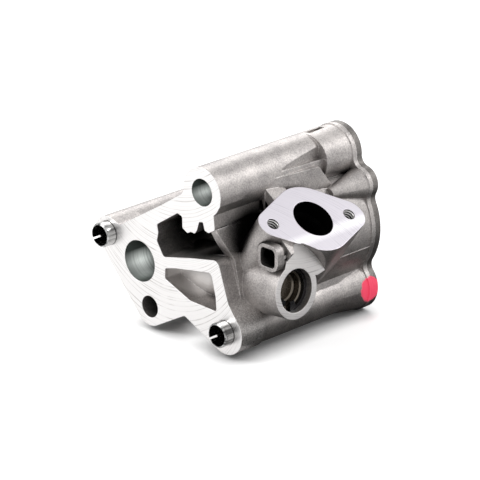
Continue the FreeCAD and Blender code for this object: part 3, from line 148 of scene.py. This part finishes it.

# die-cast aluminium body and cover: shot-blasted skin, milled faces, bored holes; lengths in mm
casting = {
    "skin": "#C4BFBC",            # blasted skin: dull, a shade warmer than grey
    "skinDark": "#959190",        # the same skin where it is denser and darker
    "coverShadedSkin": "#86827F",       # the cover: the same skin painted darker, as painted shade on the pump's rear
    "coverShadedDark": "#63605E",
    "skinRough": 0.48,
    "grain": 0.6,                 # grain of the blasted skin, as coarse as it needs to show
    "grainDepth": 0.06,
    "grainShare": 0.6,            # how much of the mottle is grain
    "stainShare": 0.4,            # and how much is broad stains
    "stainScale": 0.12,           # stains to a mm
    "edgeWornAndLit": "#E4E1DF",            # edges painted bright: tumbler wear together with a painted highlight
    "edgeRound": 0.35,            # rounding of cast edges
    "paintedShadeReach": 16.0,          # how far out a recess gets painted shade
    # painted shade in recesses, under the top tube and in the bores
    "paintedShadeTone": "#151312",
    "coarse": 0.55,               # lumps of the skin on the lower boss, where the die is worn
    "skinCoarse": "#DAD8D6",
    "paintedLitSkin": "#D8D5D3",       # painted light in the pocket below the rib
    "planeReach": 0.06,           # how near a point is to the plane or wall that it counts to
    "wallReach": 0.12,
    "planeFacing": 0.99,          # cosine within which a face looks along the plane's axis
    "milled": "#F8F6F5",          # freshly milled face: near white
    "milledLine": "#C3BFBC",      # the deeper cuts in it
    "milledRough": 0.36,
    "milledDepth": 0.15,          # depth of its cuts, as a share of the grain's
    "cutterRadius": 44.0,         # radius of the face mill's marks
    "cutterMiddle": -33.0,        # X where the marks are lowest
    "cutterPitch": 0.75,          # between cuts, coarser than the real feed
    "driftScale": 0.08,           # wavers to a mm, and how far they bend the marks
    "drift": 0.8,
    "patchScale": 0.11,           # patches to a mm, some of them cut more lightly
    "flange": "#D3CFD6",          # fly-cut pickup flange: finer marks, a cold lilac grey
    "flangeLine": "#B4B0B8",
    "flangeRadius": 48.0,
    "flangeMiddle": -23.0,
    "flangePitch": 0.5,
    "flangeStreak": "#F4F2F5",    # a paler band across the flange
    "flangeStreakHeight": -7.5,   # from the flange's middle
    "spot": "#F4F1F0",            # spot-faced fan beside the relief bore: a duller cut
    "spotLine": "#D2CECD",
    "spotRough": 0.5,
    "spotRadius": 60.0,
    "spotPitch": 0.7,
    "spotSlant": 0.6,
    "bored": "#F0F6F2",           # bored hole: a painted highlight, a bright cool streak along the bore
    "boredShade": "#363B38",       # painted shade on its wall away from the streak and deeper in
    "boredLit": 0.45,             # upward share of the normal where the painted highlight is
    "boredRough": 0.42,
    "boredTilt": 0.9,             # slope of the ring cuts towards the mouth
    "boredPitch": 0.8,            # between rings, coarser than the real feed
    "paint": "#FF4C6C",           # inspection dab: fluorescent paint; its glow is painted light that lifts it above what the lamps give
    "dabPaintedGlow": 0.32,
    "paintRough": 0.4,
    "paintPlace": (10.6, 71.9, 0.4),
    "paintSize": (4.8, 5.0, 5.4),
    "paintRagged": 0.5,           # how far its edge strays, and strays to a mm
    "paintScale": 0.5,
}
ranges = {  # where each tone starts and where it is full
    "cutLine": {"From Min": 0.30, "From Max": 0.44},
    "lightCut": {"From Min": 0.33, "From Max": 0.58, "To Max": 0.85},
    "mottle": {"From Min": 0.38, "From Max": 0.62},
    "edge": {"From Min": 0.995, "From Max": 0.9},           # cosine of the rounding
    "proud": {"From Min": 0.45, "From Max": 0.6},           # share of the surroundings that is open
    "shaded": {"From Min": 0.32, "From Max": 0.02},
    "enclosed": {"From Min": 0.85, "From Max": 0.6},
    "within": {"From Min": 1.0, "From Max": 0.75},          # share of the reach
    "lumps": {"From Min": 0.44, "From Max": 0.68},
    "borePaintedStreak": {"From Min": 0.6, "From Max": 0.05},
    "boreShadeDeep": {"From Min": 18.0, "From Max": 10.0},      # mm
    "boreShadeMouth": {"From Min": -2.0, "From Max": 8.0},       # mm
    "ring": {"From Min": 0.3, "From Max": 0.55, "To Min": 0.7},
    "flangeStreak": {"From Min": 3.2, "From Max": 0.4},     # mm
    "dab": {"From Min": 1.3, "From Max": 1.16},
}


def castAluminium(name, skinTone, skinDark):
    material, tree = newMaterial(name)
    coords = addNode(tree, "TexCoord")
    place = addNode(tree, "VectorMath", {0: coords.outputs["Object"], "Scale": 1 / mm}, operation="SCALE")
    normal = coords.outputs["Normal"]
    split = addNode(tree, "SeparateXYZ", {0: place})

    def planeMask(centre, axis):  # 1 where the point lies in the plane and the face looks along its axis
        height = addNode(tree, "VectorMath", {0: place, 1: axis}, operation="DOT_PRODUCT")
        near = addNode(tree, "Math", {0: height, 1: centre.dot(axis), 2: casting["planeReach"]},
                       operation="COMPARE")
        facing = addNode(tree, "VectorMath", {0: normal, 1: axis}, operation="DOT_PRODUCT")
        flat = addNode(tree, "Math", {0: facing, 1: casting["planeFacing"]}, operation="GREATER_THAN")
        return addNode(tree, "Math", {0: near, 1: flat}, operation="MULTIPLY")

    def wallMask(centre, axis, radius):  # 1 where the point lies on the hole's wall
        offset = addNode(tree, "VectorMath", {0: place, 1: centre}, operation="SUBTRACT")
        across = addNode(tree, "VectorMath", {0: offset, 1: axis}, operation="CROSS_PRODUCT")
        distance = addNode(tree, "VectorMath", {0: across}, operation="LENGTH")
        return addNode(tree, "Math", {0: distance, 1: radius, 2: casting["wallReach"]}, operation="COMPARE")

    def within(centre, reach):  # 1 inside an ellipsoid, 0 outside
        offset = addNode(tree, "VectorMath", {0: place, 1: centre}, operation="SUBTRACT")
        share = addNode(tree, "VectorMath", {0: offset, 1: reach}, operation="DIVIDE")
        length = addNode(tree, "VectorMath", {0: share}, operation="LENGTH")
        return addNode(tree, "MapRange", {"Value": length, **ranges["within"]})

    onFace = planeMask(Vector((0, 0, 0)), -alongY)
    onFlange = planeMask(flangePlace, flangeNormal)
    onSpot = planeMask(reliefPlace, reliefAxis)
    milled = addNode(tree, "Math", {0: onFace, 1: onFlange}, operation="MAXIMUM")
    milled = addNode(tree, "Math", {0: milled, 1: onSpot}, operation="MAXIMUM")
    outletWall, topWall = [wallMask(*hole) for hole in boredHoles]
    bored = addNode(tree, "Math", {0: outletWall, 1: topWall}, operation="MAXIMUM")

    # marks of a face mill: equal arcs one feed apart, as thin dark lines of uneven strength
    drift = addNode(tree, "TexNoise", {"Vector": place, "Scale": casting["driftScale"], "Detail": 1.0})
    patches = addNode(tree, "TexNoise", {"Vector": place, "Scale": casting["patchScale"], "Detail": 2.0})

    def cutterMarks(across, height, radius, middle, pitch):
        offset = addNode(tree, "Math", {0: across, 1: middle}, operation="SUBTRACT")
        square = addNode(tree, "Math", {0: offset, 1: offset}, operation="MULTIPLY")
        inside = addNode(tree, "Math", {0: radius * radius, 1: square}, operation="SUBTRACT")
        above = addNode(tree, "Math", {0: inside, 1: 0.0}, operation="MAXIMUM")
        root = addNode(tree, "Math", {0: above}, operation="SQRT")
        phase = addNode(tree, "Math", {0: height, 1: root}, operation="ADD")
        bent = addNode(tree, "Math", {0: drift, 1: casting["drift"], 2: phase}, operation="MULTIPLY_ADD")
        lines = addNode(tree, "TexNoise", {"W": bent, "Scale": 1 / pitch, "Detail": 2.0, "Roughness": 0.55},
                        noise_dimensions="1D")
        cut = addNode(tree, "MapRange", {"Value": lines, **ranges["cutLine"]})
        bare = addNode(tree, "MapRange", {"Value": patches, **ranges["lightCut"]})
        return addNode(tree, "Math", {0: cut, 1: bare}, operation="MAXIMUM")

    faceMarks = cutterMarks(split.outputs["X"], split.outputs["Z"], casting["cutterRadius"],
                            casting["cutterMiddle"], casting["cutterPitch"])
    flangeOffset = addNode(tree, "VectorMath", {0: place, 1: flangePlace}, operation="SUBTRACT")
    flangeHeight = addNode(tree, "VectorMath", {0: flangeOffset, 1: flangeUp}, operation="DOT_PRODUCT")
    flangeAcross = addNode(tree, "Math", {0: flangePlace.y, 1: split.outputs["Y"]}, operation="SUBTRACT")
    flangeMarks = cutterMarks(flangeHeight, flangeAcross, casting["flangeRadius"], casting["flangeMiddle"],
                              casting["flangePitch"])
    spotOffset = addNode(tree, "VectorMath", {0: place, 1: reliefPlace}, operation="SUBTRACT")
    spotHeight = addNode(tree, "VectorMath", {0: spotOffset, 1: reliefUp + alongY * casting["spotSlant"]},
                         operation="DOT_PRODUCT")
    spotMarks = cutterMarks(split.outputs["Y"], spotHeight, casting["spotRadius"], 0.0, casting["spotPitch"])

    # blasted skin: fine grain with broad stains
    grain = addNode(tree, "TexNoise", {"Vector": place, "Scale": 1 / casting["grain"], "Detail": 3.0,
                                       "Roughness": 0.6})
    stain = addNode(tree, "TexNoise", {"Vector": place, "Scale": casting["stainScale"], "Detail": 3.0})
    broad = addNode(tree, "Math", {0: stain, 1: casting["stainShare"]}, operation="MULTIPLY")
    mottle = addNode(tree, "Math", {0: grain, 1: casting["grainShare"], 2: broad}, operation="MULTIPLY_ADD")
    mottle = addNode(tree, "MapRange", {"Value": mottle, **ranges["mottle"]})
    skin = addNode(tree, "Mix", {"Factor": mottle, "A": linear(skinDark), "B": linear(skinTone)},
                   data_type="RGBA")

    # edges that stand proud are painted bright: tumbler wear together with a painted highlight
    rounded = addNode(tree, "Bevel", {"Radius": casting["edgeRound"] * mm}, samples=6)
    openness = addNode(tree, "AmbientOcclusion", {"Distance": casting["paintedShadeReach"] * mm}, samples=8)
    openness = openness.outputs["AO"]
    turned = addNode(tree, "VectorMath", {0: rounded, 1: normal}, operation="DOT_PRODUCT")
    edge = addNode(tree, "MapRange", {"Value": turned, **ranges["edge"]})
    proud = addNode(tree, "MapRange", {"Value": openness, **ranges["proud"]})
    edge = addNode(tree, "Math", {0: edge, 1: proud}, operation="MULTIPLY")
    edge = addNode(tree, "Math", {0: edge, 1: mottle}, operation="MULTIPLY")

    # recesses get painted shade, but for the pocket below the rib, which gets painted light
    paintedLightShare = within(*paintedLightPlace)
    shaded = addNode(tree, "MapRange", {"Value": openness, **ranges["shaded"]})
    outsidePaintedLight = addNode(tree, "Math", {0: 1.0, 1: paintedLightShare}, operation="SUBTRACT")
    paintedRecessShade = addNode(tree, "Math", {0: shaded, 1: outsidePaintedLight}, operation="MULTIPLY")
    enclosed = addNode(tree, "MapRange", {"Value": openness, **ranges["enclosed"]})
    for centre, reach in paintedShadePlaces:
        shadeHere = addNode(tree, "Math", {0: within(centre, reach), 1: enclosed}, operation="MULTIPLY")
        paintedRecessShade = addNode(tree, "Math", {0: paintedRecessShade, 1: shadeHere}, operation="MAXIMUM")
    # painted shade over the suction bore's wall near the flange
    suctionShade = addNode(tree, "Math", {0: wallMask(*suctionBore), 1: within(flangePlace, suctionShadeReach)},
                      operation="MULTIPLY")
    paintedRecessShade = addNode(tree, "Math", {0: paintedRecessShade, 1: suctionShade}, operation="MAXIMUM")

    lumps = addNode(tree, "TexNoise", {"Vector": place, "Scale": 1 / casting["coarse"], "Detail": 3.0})
    lumps = addNode(tree, "MapRange", {"Value": lumps, **ranges["lumps"]})
    lumpy = addNode(tree, "Math", {0: within(*coarsePlace), 1: lumps}, operation="MULTIPLY")
    for share, tone in ((edge, "edgeWornAndLit"), (paintedLightShare, "paintedLitSkin"), (lumpy, "skinCoarse"), (paintedRecessShade, "paintedShadeTone")):
        skin = addNode(tree, "Mix", {"Factor": share, "A": skin, "B": linear(casting[tone])},
                       data_type="RGBA")

    # bored walls: a painted highlight streak along the bore, with ring marks in it, and painted shade beside
    # it, at the mouth and deeper in
    facing = addNode(tree, "SeparateXYZ", {0: normal})
    around = addNode(tree, "Math", {0: facing.outputs["Z"], 1: casting["boredLit"]}, operation="SUBTRACT")
    around = addNode(tree, "Math", {0: around}, operation="ABSOLUTE")
    lit = addNode(tree, "MapRange", {"Value": around, **ranges["borePaintedStreak"]})
    rings = addNode(tree, "TexNoise", {"W": split.outputs["Y"], "Scale": 1 / casting["boredPitch"],
                                       "Detail": 2.0}, noise_dimensions="1D")
    depth = split.outputs["Y"]
    for value, span in ((depth, "boreShadeDeep"), (depth, "boreShadeMouth"), (rings, "ring")):
        share = addNode(tree, "MapRange", {"Value": value, **ranges[span]})
        lit = addNode(tree, "Math", {0: lit, 1: share}, operation="MULTIPLY")
    wallTone = addNode(tree, "Mix", {"Factor": lit, "A": linear(casting["boredShade"]),
                                     "B": linear(casting["bored"])}, data_type="RGBA")
    colour = addNode(tree, "Mix", {"Factor": bored, "A": skin, "B": wallTone}, data_type="RGBA")

    # milled faces: each with its tone and darker cuts
    streakAway = addNode(tree, "Math", {0: flangeHeight, 1: casting["flangeStreakHeight"]},
                         operation="SUBTRACT")
    streakAway = addNode(tree, "Math", {0: streakAway}, operation="ABSOLUTE")
    streak = addNode(tree, "MapRange", {"Value": streakAway, **ranges["flangeStreak"]})
    flangeTone = addNode(tree, "Mix", {"Factor": streak, "A": linear(casting["flange"]),
                                       "B": linear(casting["flangeStreak"])}, data_type="RGBA")
    machined = [
        (onFace, faceMarks, casting["milledLine"], linear(casting["milled"])),
        (onSpot, spotMarks, casting["spotLine"], linear(casting["spot"])),
        (onFlange, flangeMarks, casting["flangeLine"], flangeTone),
    ]
    for mask, marks, line, tone in machined:
        cut = addNode(tree, "Mix", {"Factor": marks, "A": linear(line), "B": tone}, data_type="RGBA")
        colour = addNode(tree, "Mix", {"Factor": mask, "A": colour, "B": cut}, data_type="RGBA")

    # inspection dab on the lower rear lobe
    dabOffset = addNode(tree, "VectorMath", {0: place, 1: casting["paintPlace"]}, operation="SUBTRACT")
    dabShare = addNode(tree, "VectorMath", {0: dabOffset, 1: casting["paintSize"]}, operation="DIVIDE")
    dabDistance = addNode(tree, "VectorMath", {0: dabShare}, operation="LENGTH")
    dabEdge = addNode(tree, "TexNoise", {"Vector": place, "Scale": casting["paintScale"], "Detail": 2.0})
    dabReach = addNode(tree, "Math", {0: dabEdge, 1: casting["paintRagged"], 2: dabDistance},
                       operation="MULTIPLY_ADD")
    dab = addNode(tree, "MapRange", {"Value": dabReach, **ranges["dab"]})
    paint = linear(casting["paint"])
    colour = addNode(tree, "Mix", {"Factor": dab, "A": colour, "B": paint}, data_type="RGBA")
    # painted light: the dab glows brighter than the lamps make it
    paintedGlow = addNode(tree, "Math", {0: dab, 1: casting["dabPaintedGlow"]}, operation="MULTIPLY")
    metallic = addNode(tree, "Math", {0: 1.0, 1: dab}, operation="SUBTRACT")
    rough = casting["skinRough"]
    for mask, value in ((bored, "boredRough"), (milled, "milledRough"), (onSpot, "spotRough"),
                        (dab, "paintRough")):
        rough = addNode(tree, "Mix", {"Factor": mask, "A": rough, "B": casting[value]})

    # relief: grain on the skin, fine cuts on the mounting face, ring cuts in the bores
    machinedAny = addNode(tree, "Math", {0: milled, 1: bored}, operation="MAXIMUM")
    skinOnly = addNode(tree, "Math", {0: 1.0, 1: machinedAny}, operation="SUBTRACT")
    height = addNode(tree, "Math", {0: grain, 1: skinOnly}, operation="MULTIPLY")
    faceHeight = addNode(tree, "Math", {0: faceMarks, 1: onFace}, operation="MULTIPLY")
    height = addNode(tree, "Math", {0: faceHeight, 1: casting["milledDepth"], 2: height},
                     operation="MULTIPLY_ADD")
    boreSlope = casting["boredTilt"] / casting["grainDepth"]
    alongBore = addNode(tree, "Math", {0: split.outputs["Y"], 1: boreSlope}, operation="MULTIPLY")
    height = addNode(tree, "Math", {0: alongBore, 1: bored, 2: height}, operation="MULTIPLY_ADD")
    bump = addNode(tree, "Bump", {"Height": height, "Distance": casting["grainDepth"] * mm, "Strength": 1.0,
                                  "Normal": rounded})
    shader = addNode(tree, "BsdfPrincipled", {"Base Color": colour, "Roughness": rough, "Metallic": metallic,
                                              "Emission Color": paint, "Emission Strength": paintedGlow,
                                              "Normal": bump})
    addNode(tree, "OutputMaterial", {"Surface": shader})
    return material


castBody = castAluminium("dieCastAluminium", casting["skin"], casting["skinDark"])
# the cover gets the casting again, painted darker: painted shade on the rear
castCoverShaded = castAluminium("dieCastAluminiumPaintedShade", casting["coverShadedSkin"], casting["coverShadedDark"])


# plain metals of the fitted pieces; marks says how many come to a mm along X, Y and Z
metalLooks = {
    # centreless-ground: bright rings
    "groundSteel": {"colour": "#9C9D9E", "rough": 0.24, "marks": (0.3, 3.0, 0.3)},
    # drawn tube: long streaks along it, bright and dark, painted as reflection bands
    "tubeSteelPaintedBands": {"colour": "#C9C9C8", "rough": 0.2, "marks": (0.55, 0.05, 0.55), "dark": 0.16},
    # pressed powder: dull and grainy
    "sinteredSteel": {"colour": "#6E6D6B", "rough": 0.42, "marks": (2, 2, 2)},
    # turned bush: warm, with soft rings
    "bearingBronze": {"colour": "#A8834F", "rough": 0.35, "marks": (0.4, 3.0, 0.4)},
    # black phosphate: nearly no shine
    "phosphatedSteel": {"colour": "#3E3E40", "rough": 0.26, "marks": (3, 3, 3)},
    # patented wire under oil: grey, with a soft gleam
    "oiledSpringWire": {"colour": "#6F6F70", "rough": 0.24},
    # zinc plate: pale and bluish
    "zincPlatedSteel": {"colour": "#B9BDC2", "rough": 0.28},
    # turned cup: tan from its oil, with painted shade where little light gets in
    "turnedSteel": {"colour": "#6F685F", "rough": 0.26, "marks": (3.0, 0.3, 0.3), "paintedRecessShade": True},
    # fresh cut crests: bright
    "cutThreadAluminium": {"colour": "#F0EEED", "rough": 0.3},
}
metalSurface = {
    "tones": {"From Min": 0.4, "From Max": 0.6},
    # painted shade for the pieces that get it, where little light gets in
    "metalShadeTone": "#141312",
    "metalShadeReach": 9.0,        # mm
    "metalShadeRange": {"From Min": 0.05, "From Max": 0.6},
    "roughLow": 0.8,        # shares of a metal's roughness between which it varies
    "roughHigh": 1.25,
    "edgeRound": 0.12,      # mm, broken edges
    "markDepth": 0.01,      # mm
    "markStrength": 0.6,
}


def plainMetal(name, colour, rough, marks=(1, 1, 1), dark=0.82, paintedRecessShade=False):
    material, tree = newMaterial(name)
    coords = addNode(tree, "TexCoord")
    place = addNode(tree, "VectorMath", {0: coords.outputs["Object"], "Scale": 1 / mm}, operation="SCALE")
    stretch = addNode(tree, "VectorMath", {0: place, 1: marks}, operation="MULTIPLY")
    noise = addNode(tree, "TexNoise", {"Vector": stretch, "Scale": 1.0, "Detail": 3.0})
    share = addNode(tree, "MapRange", {"Value": noise, **metalSurface["tones"]})
    darker = [channel * dark for channel in linear(colour)[:3]] + [1.0]
    tone = addNode(tree, "Mix", {"Factor": share, "A": darker, "B": linear(colour)}, data_type="RGBA")
    if paintedRecessShade:  # painted shade where little light gets in
        openness = addNode(tree, "AmbientOcclusion", {"Distance": metalSurface["metalShadeReach"] * mm}, samples=8)
        bare = addNode(tree, "MapRange", {"Value": openness.outputs["AO"], **metalSurface["metalShadeRange"]})
        tone = addNode(tree, "Mix", {"Factor": bare, "A": linear(metalSurface["metalShadeTone"]), "B": tone},
                       data_type="RGBA")
    spread = addNode(tree, "MapRange", {"Value": noise, "To Min": rough * metalSurface["roughLow"],
                                        "To Max": rough * metalSurface["roughHigh"]})
    rounded = addNode(tree, "Bevel", {"Radius": metalSurface["edgeRound"] * mm}, samples=6)
    bump = addNode(tree, "Bump", {"Height": noise, "Distance": metalSurface["markDepth"] * mm,
                                  "Strength": metalSurface["markStrength"], "Normal": rounded})
    shader = addNode(tree, "BsdfPrincipled", {"Base Color": tone, "Roughness": spread, "Metallic": 1.0,
                                              "Normal": bump})
    addNode(tree, "OutputMaterial", {"Surface": shader})
    return material


metals = {name: plainMetal(name, **look) for name, look in metalLooks.items()}
finishes = {  # the nodes that aren't named here are the cover's screws
    "pump_body": castBody,
    "rear_cover": castCoverShaded,
    "dowel_sleeve_lower": metals["tubeSteelPaintedBands"],
    "dowel_sleeve_left": metals["tubeSteelPaintedBands"],
    "inner_rotor": metals["sinteredSteel"],
    "outer_rotor": metals["sinteredSteel"],
    "drive_shaft": metals["groundSteel"],
    "rotor_drive_pin": metals["groundSteel"],
    "shaft_bush_front": metals["bearingBronze"],
    "shaft_bush_rear": metals["bearingBronze"],
    "relief_retaining_ring": metals["phosphatedSteel"],
    "relief_spring_seat": metals["turnedSteel"],
    "relief_piston": metals["groundSteel"],
    "relief_spring": metals["oiledSpringWire"],
    "gallery_plug": metals["zincPlatedSteel"],
    "cover_pin_upper": metals["groundSteel"],
    "cover_pin_lower": metals["groundSteel"],
}
for node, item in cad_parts.items():
    finish = finishes.get(node, metals["zincPlatedSteel"])
    if not item.material_slots:
        item.data.materials.append(finish)
    for slot in item.material_slots:
        slot.material = finish
print("finishes given to", len(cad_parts), "pieces")


def placedPiece(name, shape, axis, place, finish):  # lays a shape built along Z on an axis, at a place in mm
    turn = Vector((0, 0, 1)).rotation_difference(axis).to_matrix().to_4x4()
    bmesh.ops.transform(shape, verts=shape.verts, matrix=turn)
    bmesh.ops.translate(shape, verts=shape.verts, vec=place)
    bmesh.ops.scale(shape, verts=shape.verts, vec=(mm, mm, mm))
    bmesh.ops.recalc_face_normals(shape, faces=shape.faces)
    mesh = bpy.data.meshes.new(name)
    shape.to_mesh(mesh)
    shape.free()
    for face in mesh.polygons:
        face.use_smooth = len(face.vertices) == 4  # the flat ends of a wire stay sharp
    mesh.materials.append(finish)
    piece = bpy.data.objects.new(name, mesh)
    bpy.context.collection.objects.link(piece)
    return piece


# tapped holes: a helical ridge stands in each
thread = {
    "holeRadius": 2.5,    # mm
    "ridge": 0.45,        # mm, height above the wall
    "sunk": 0.02,         # mm, depth of its foot in the wall
    "pitch": 1.25,        # mm, coarser than the real 1 mm so that it shows
    "halfWidth": 0.24,    # share of the pitch
    "turns": 9,
    "steps": 28,          # in a turn
    "start": 0.5,         # mm below the flange
}


def threadRidge(name, centre):
    shape = bmesh.new()
    foot = thread["holeRadius"] + thread["sunk"]
    crest = thread["holeRadius"] - thread["ridge"]
    half = thread["pitch"] * thread["halfWidth"]
    profile = [shape.verts.new(point) for point in ((foot, 0, -half), (crest, 0, 0), (foot, 0, half))]
    edges = [shape.edges.new(pair) for pair in zip(profile, profile[1:])]
    bmesh.ops.spin(shape, geom=profile + edges, axis=(0, 0, 1), cent=(0, 0, 0),
                   angle=2 * math.pi * thread["turns"], steps=thread["steps"] * thread["turns"],
                   dvec=(0, 0, -thread["pitch"] / thread["steps"]))
    top = centre - flangeNormal * thread["start"]
    piece = placedPiece(name, shape, flangeNormal, top, metals["cutThreadAluminium"])
    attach(piece, "housing")


for side, centre in zip(("Left", "Right"), tappedHoles):
    threadRidge("pickupThread" + side, centre)
print("threads cut")

# relief spring: a round coil in place of the CAD one
coilSpring = {
    "start": 9.05,     # mm behind the relief bore's mouth
    "end": 36.95,      # mm
    "wire": 0.8,       # mm, radius of the wire
    "wireSides": 14,
    "radius": 5.8,     # mm, radius of the coil
    "turns": 7,
    "steps": 36,       # in a turn
    "travel": 9.0,     # mm that the piston presses it together
}
length = coilSpring["end"] - coilSpring["start"]
rise = length - 2 * coilSpring["wire"]
steps = coilSpring["turns"] * coilSpring["steps"]
firstTurn = (coilSpring["radius"], 0, coilSpring["start"] + coilSpring["wire"])
shape = bmesh.new()
bmesh.ops.create_circle(shape, cap_ends=False, radius=coilSpring["wire"], segments=coilSpring["wireSides"])
bmesh.ops.rotate(shape, verts=shape.verts, cent=(0, 0, 0), matrix=Matrix.Rotation(math.radians(90), 3, "X"))
bmesh.ops.translate(shape, verts=shape.verts, vec=firstTurn)
bmesh.ops.spin(shape, geom=list(shape.verts) + list(shape.edges), axis=(0, 0, 1), cent=(0, 0, 0),
               angle=2 * math.pi * coilSpring["turns"], steps=steps, dvec=(0, 0, rise / steps))
bmesh.ops.holes_fill(shape, edges=shape.edges, sides=0)
coilPiece = placedPiece("reliefSpringCoil", shape, -reliefAxis, reliefPlace, metals["oiledSpringWire"])
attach(coilPiece, "housing")
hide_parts("relief_spring")
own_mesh(coilPiece)
print("relief spring wound")


# floor, world and lamps; lengths in m
studio = {
    "floorGap": 0.0001,
    "floorSize": 6.0,
    "floorTone": "#F4F4F4",
    "floorGlow": 0.6,        # keeps the floor white and its shadow pale
    "floorReflected": 0.36,  # the same in reflections, which see the floor's own light as well
    "contactShadowReach": 0.010,        # how near the pump the floor's glow fades: a painted contact shadow
    "contactRange": {"From Min": 0.3, "From Max": 0.9},
    "ambient": 0.42,
    "aim": (-0.02, 0.035, 0.025),  # middle of the pump
    "lamps": {
        "key": {"place": (-0.42, -0.62, 0.62), "size": 0.4, "power": 3.0},
        "back": {"place": (-0.55, 0.62, 0.50), "size": 0.4, "power": 1.7},
        "side": {"place": (0.42, 0.62, 0.52), "size": 0.3, "power": 1.5},
    },
}
floorHeight = cadBox[0][2] - studio["floorGap"]


def seenWhite(tree, reflected):  # how strongly camera, clear glass and reflections see the white background
    path = addNode(tree, "LightPath")
    direct = addNode(tree, "Math", {0: path.outputs["Is Camera Ray"], 1: path.outputs["Is Transmission Ray"]},
                     operation="MAXIMUM")
    glossy = addNode(tree, "Math", {0: path.outputs["Is Glossy Ray"], 1: reflected}, operation="MULTIPLY")
    return addNode(tree, "Math", {0: direct, 1: glossy}, operation="MAXIMUM")


floorMaterial, tree = newMaterial("paleFloor")
diffuse = addNode(tree, "BsdfDiffuse", {"Color": linear(studio["floorTone"])})
white = seenWhite(tree, studio["floorReflected"] / studio["floorGlow"])
# painted contact shadow: the floor's glow fades where the pump is near
openness = addNode(tree, "AmbientOcclusion", {"Distance": studio["contactShadowReach"]}, samples=8)
clear = addNode(tree, "MapRange", {"Value": openness.outputs["AO"], **studio["contactRange"]})
white = addNode(tree, "Math", {0: white, 1: clear}, operation="MULTIPLY")
white = addNode(tree, "Math", {0: white, 1: studio["floorGlow"]}, operation="MULTIPLY")
glow = addNode(tree, "Emission", {"Color": (1, 1, 1, 1), "Strength": white})
shader = addNode(tree, "AddShader", {0: diffuse, 1: glow})
addNode(tree, "OutputMaterial", {"Surface": shader})
bpy.ops.mesh.primitive_plane_add(size=studio["floorSize"], location=(0, 0, floorHeight))
floor = bpy.context.object
floor.name = "floor"
floor.data.materials.append(floorMaterial)

world = bpy.data.worlds.new("studioWorld")
bpy.context.scene.world = world
world.use_nodes = True
tree = world.node_tree
tree.nodes.clear()
strength = addNode(tree, "Mix", {"Factor": seenWhite(tree, 1.0), "A": studio["ambient"], "B": 1.0})
background = addNode(tree, "Background", {"Color": (1, 1, 1, 1), "Strength": strength})
addNode(tree, "OutputWorld", {"Surface": background})

# painted shade: a dark sheet on the floor at the right, seen only in reflections; it keeps the pump's lower
# right side dark
shadeSheet = {"place": (0.040, 0.090), "size": (0.16, 0.17), "turn": 45, "tone": "#606060", "lift": 0.00005}
shadeSheetMaterial, tree = newMaterial("reflectedShadeSheet")
shader = addNode(tree, "BsdfDiffuse", {"Color": linear(shadeSheet["tone"])})
addNode(tree, "OutputMaterial", {"Surface": shader})
bpy.ops.mesh.primitive_plane_add(size=1.0, location=(*shadeSheet["place"], floorHeight + shadeSheet["lift"]),
                                 rotation=(0, 0, math.radians(shadeSheet["turn"])))
shadeSheetPiece = bpy.context.object
shadeSheetPiece.name = "reflectedShadeSheet"
shadeSheetPiece.scale = (*shadeSheet["size"], 1)
shadeSheetPiece.data.materials.append(shadeSheetMaterial)
shadeSheetPiece.visible_camera = False
shadeSheetPiece.visible_diffuse = False
shadeSheetPiece.visible_shadow = False

for name, lamp in studio["lamps"].items():
    data = bpy.data.lights.new(name, "AREA")
    data.shape = "SQUARE"
    data.size = lamp["size"]
    data.energy = lamp["power"]
    item = bpy.data.objects.new(name, data)
    item.location = lamp["place"]
    toPump = Vector(studio["aim"]) - Vector(lamp["place"])
    item.rotation_euler = toPump.to_track_quat("-Z", "Y").to_euler()
    bpy.context.collection.objects.link(item)
bpy.context.scene.view_settings.view_transform = "Standard"
print("studio lit")
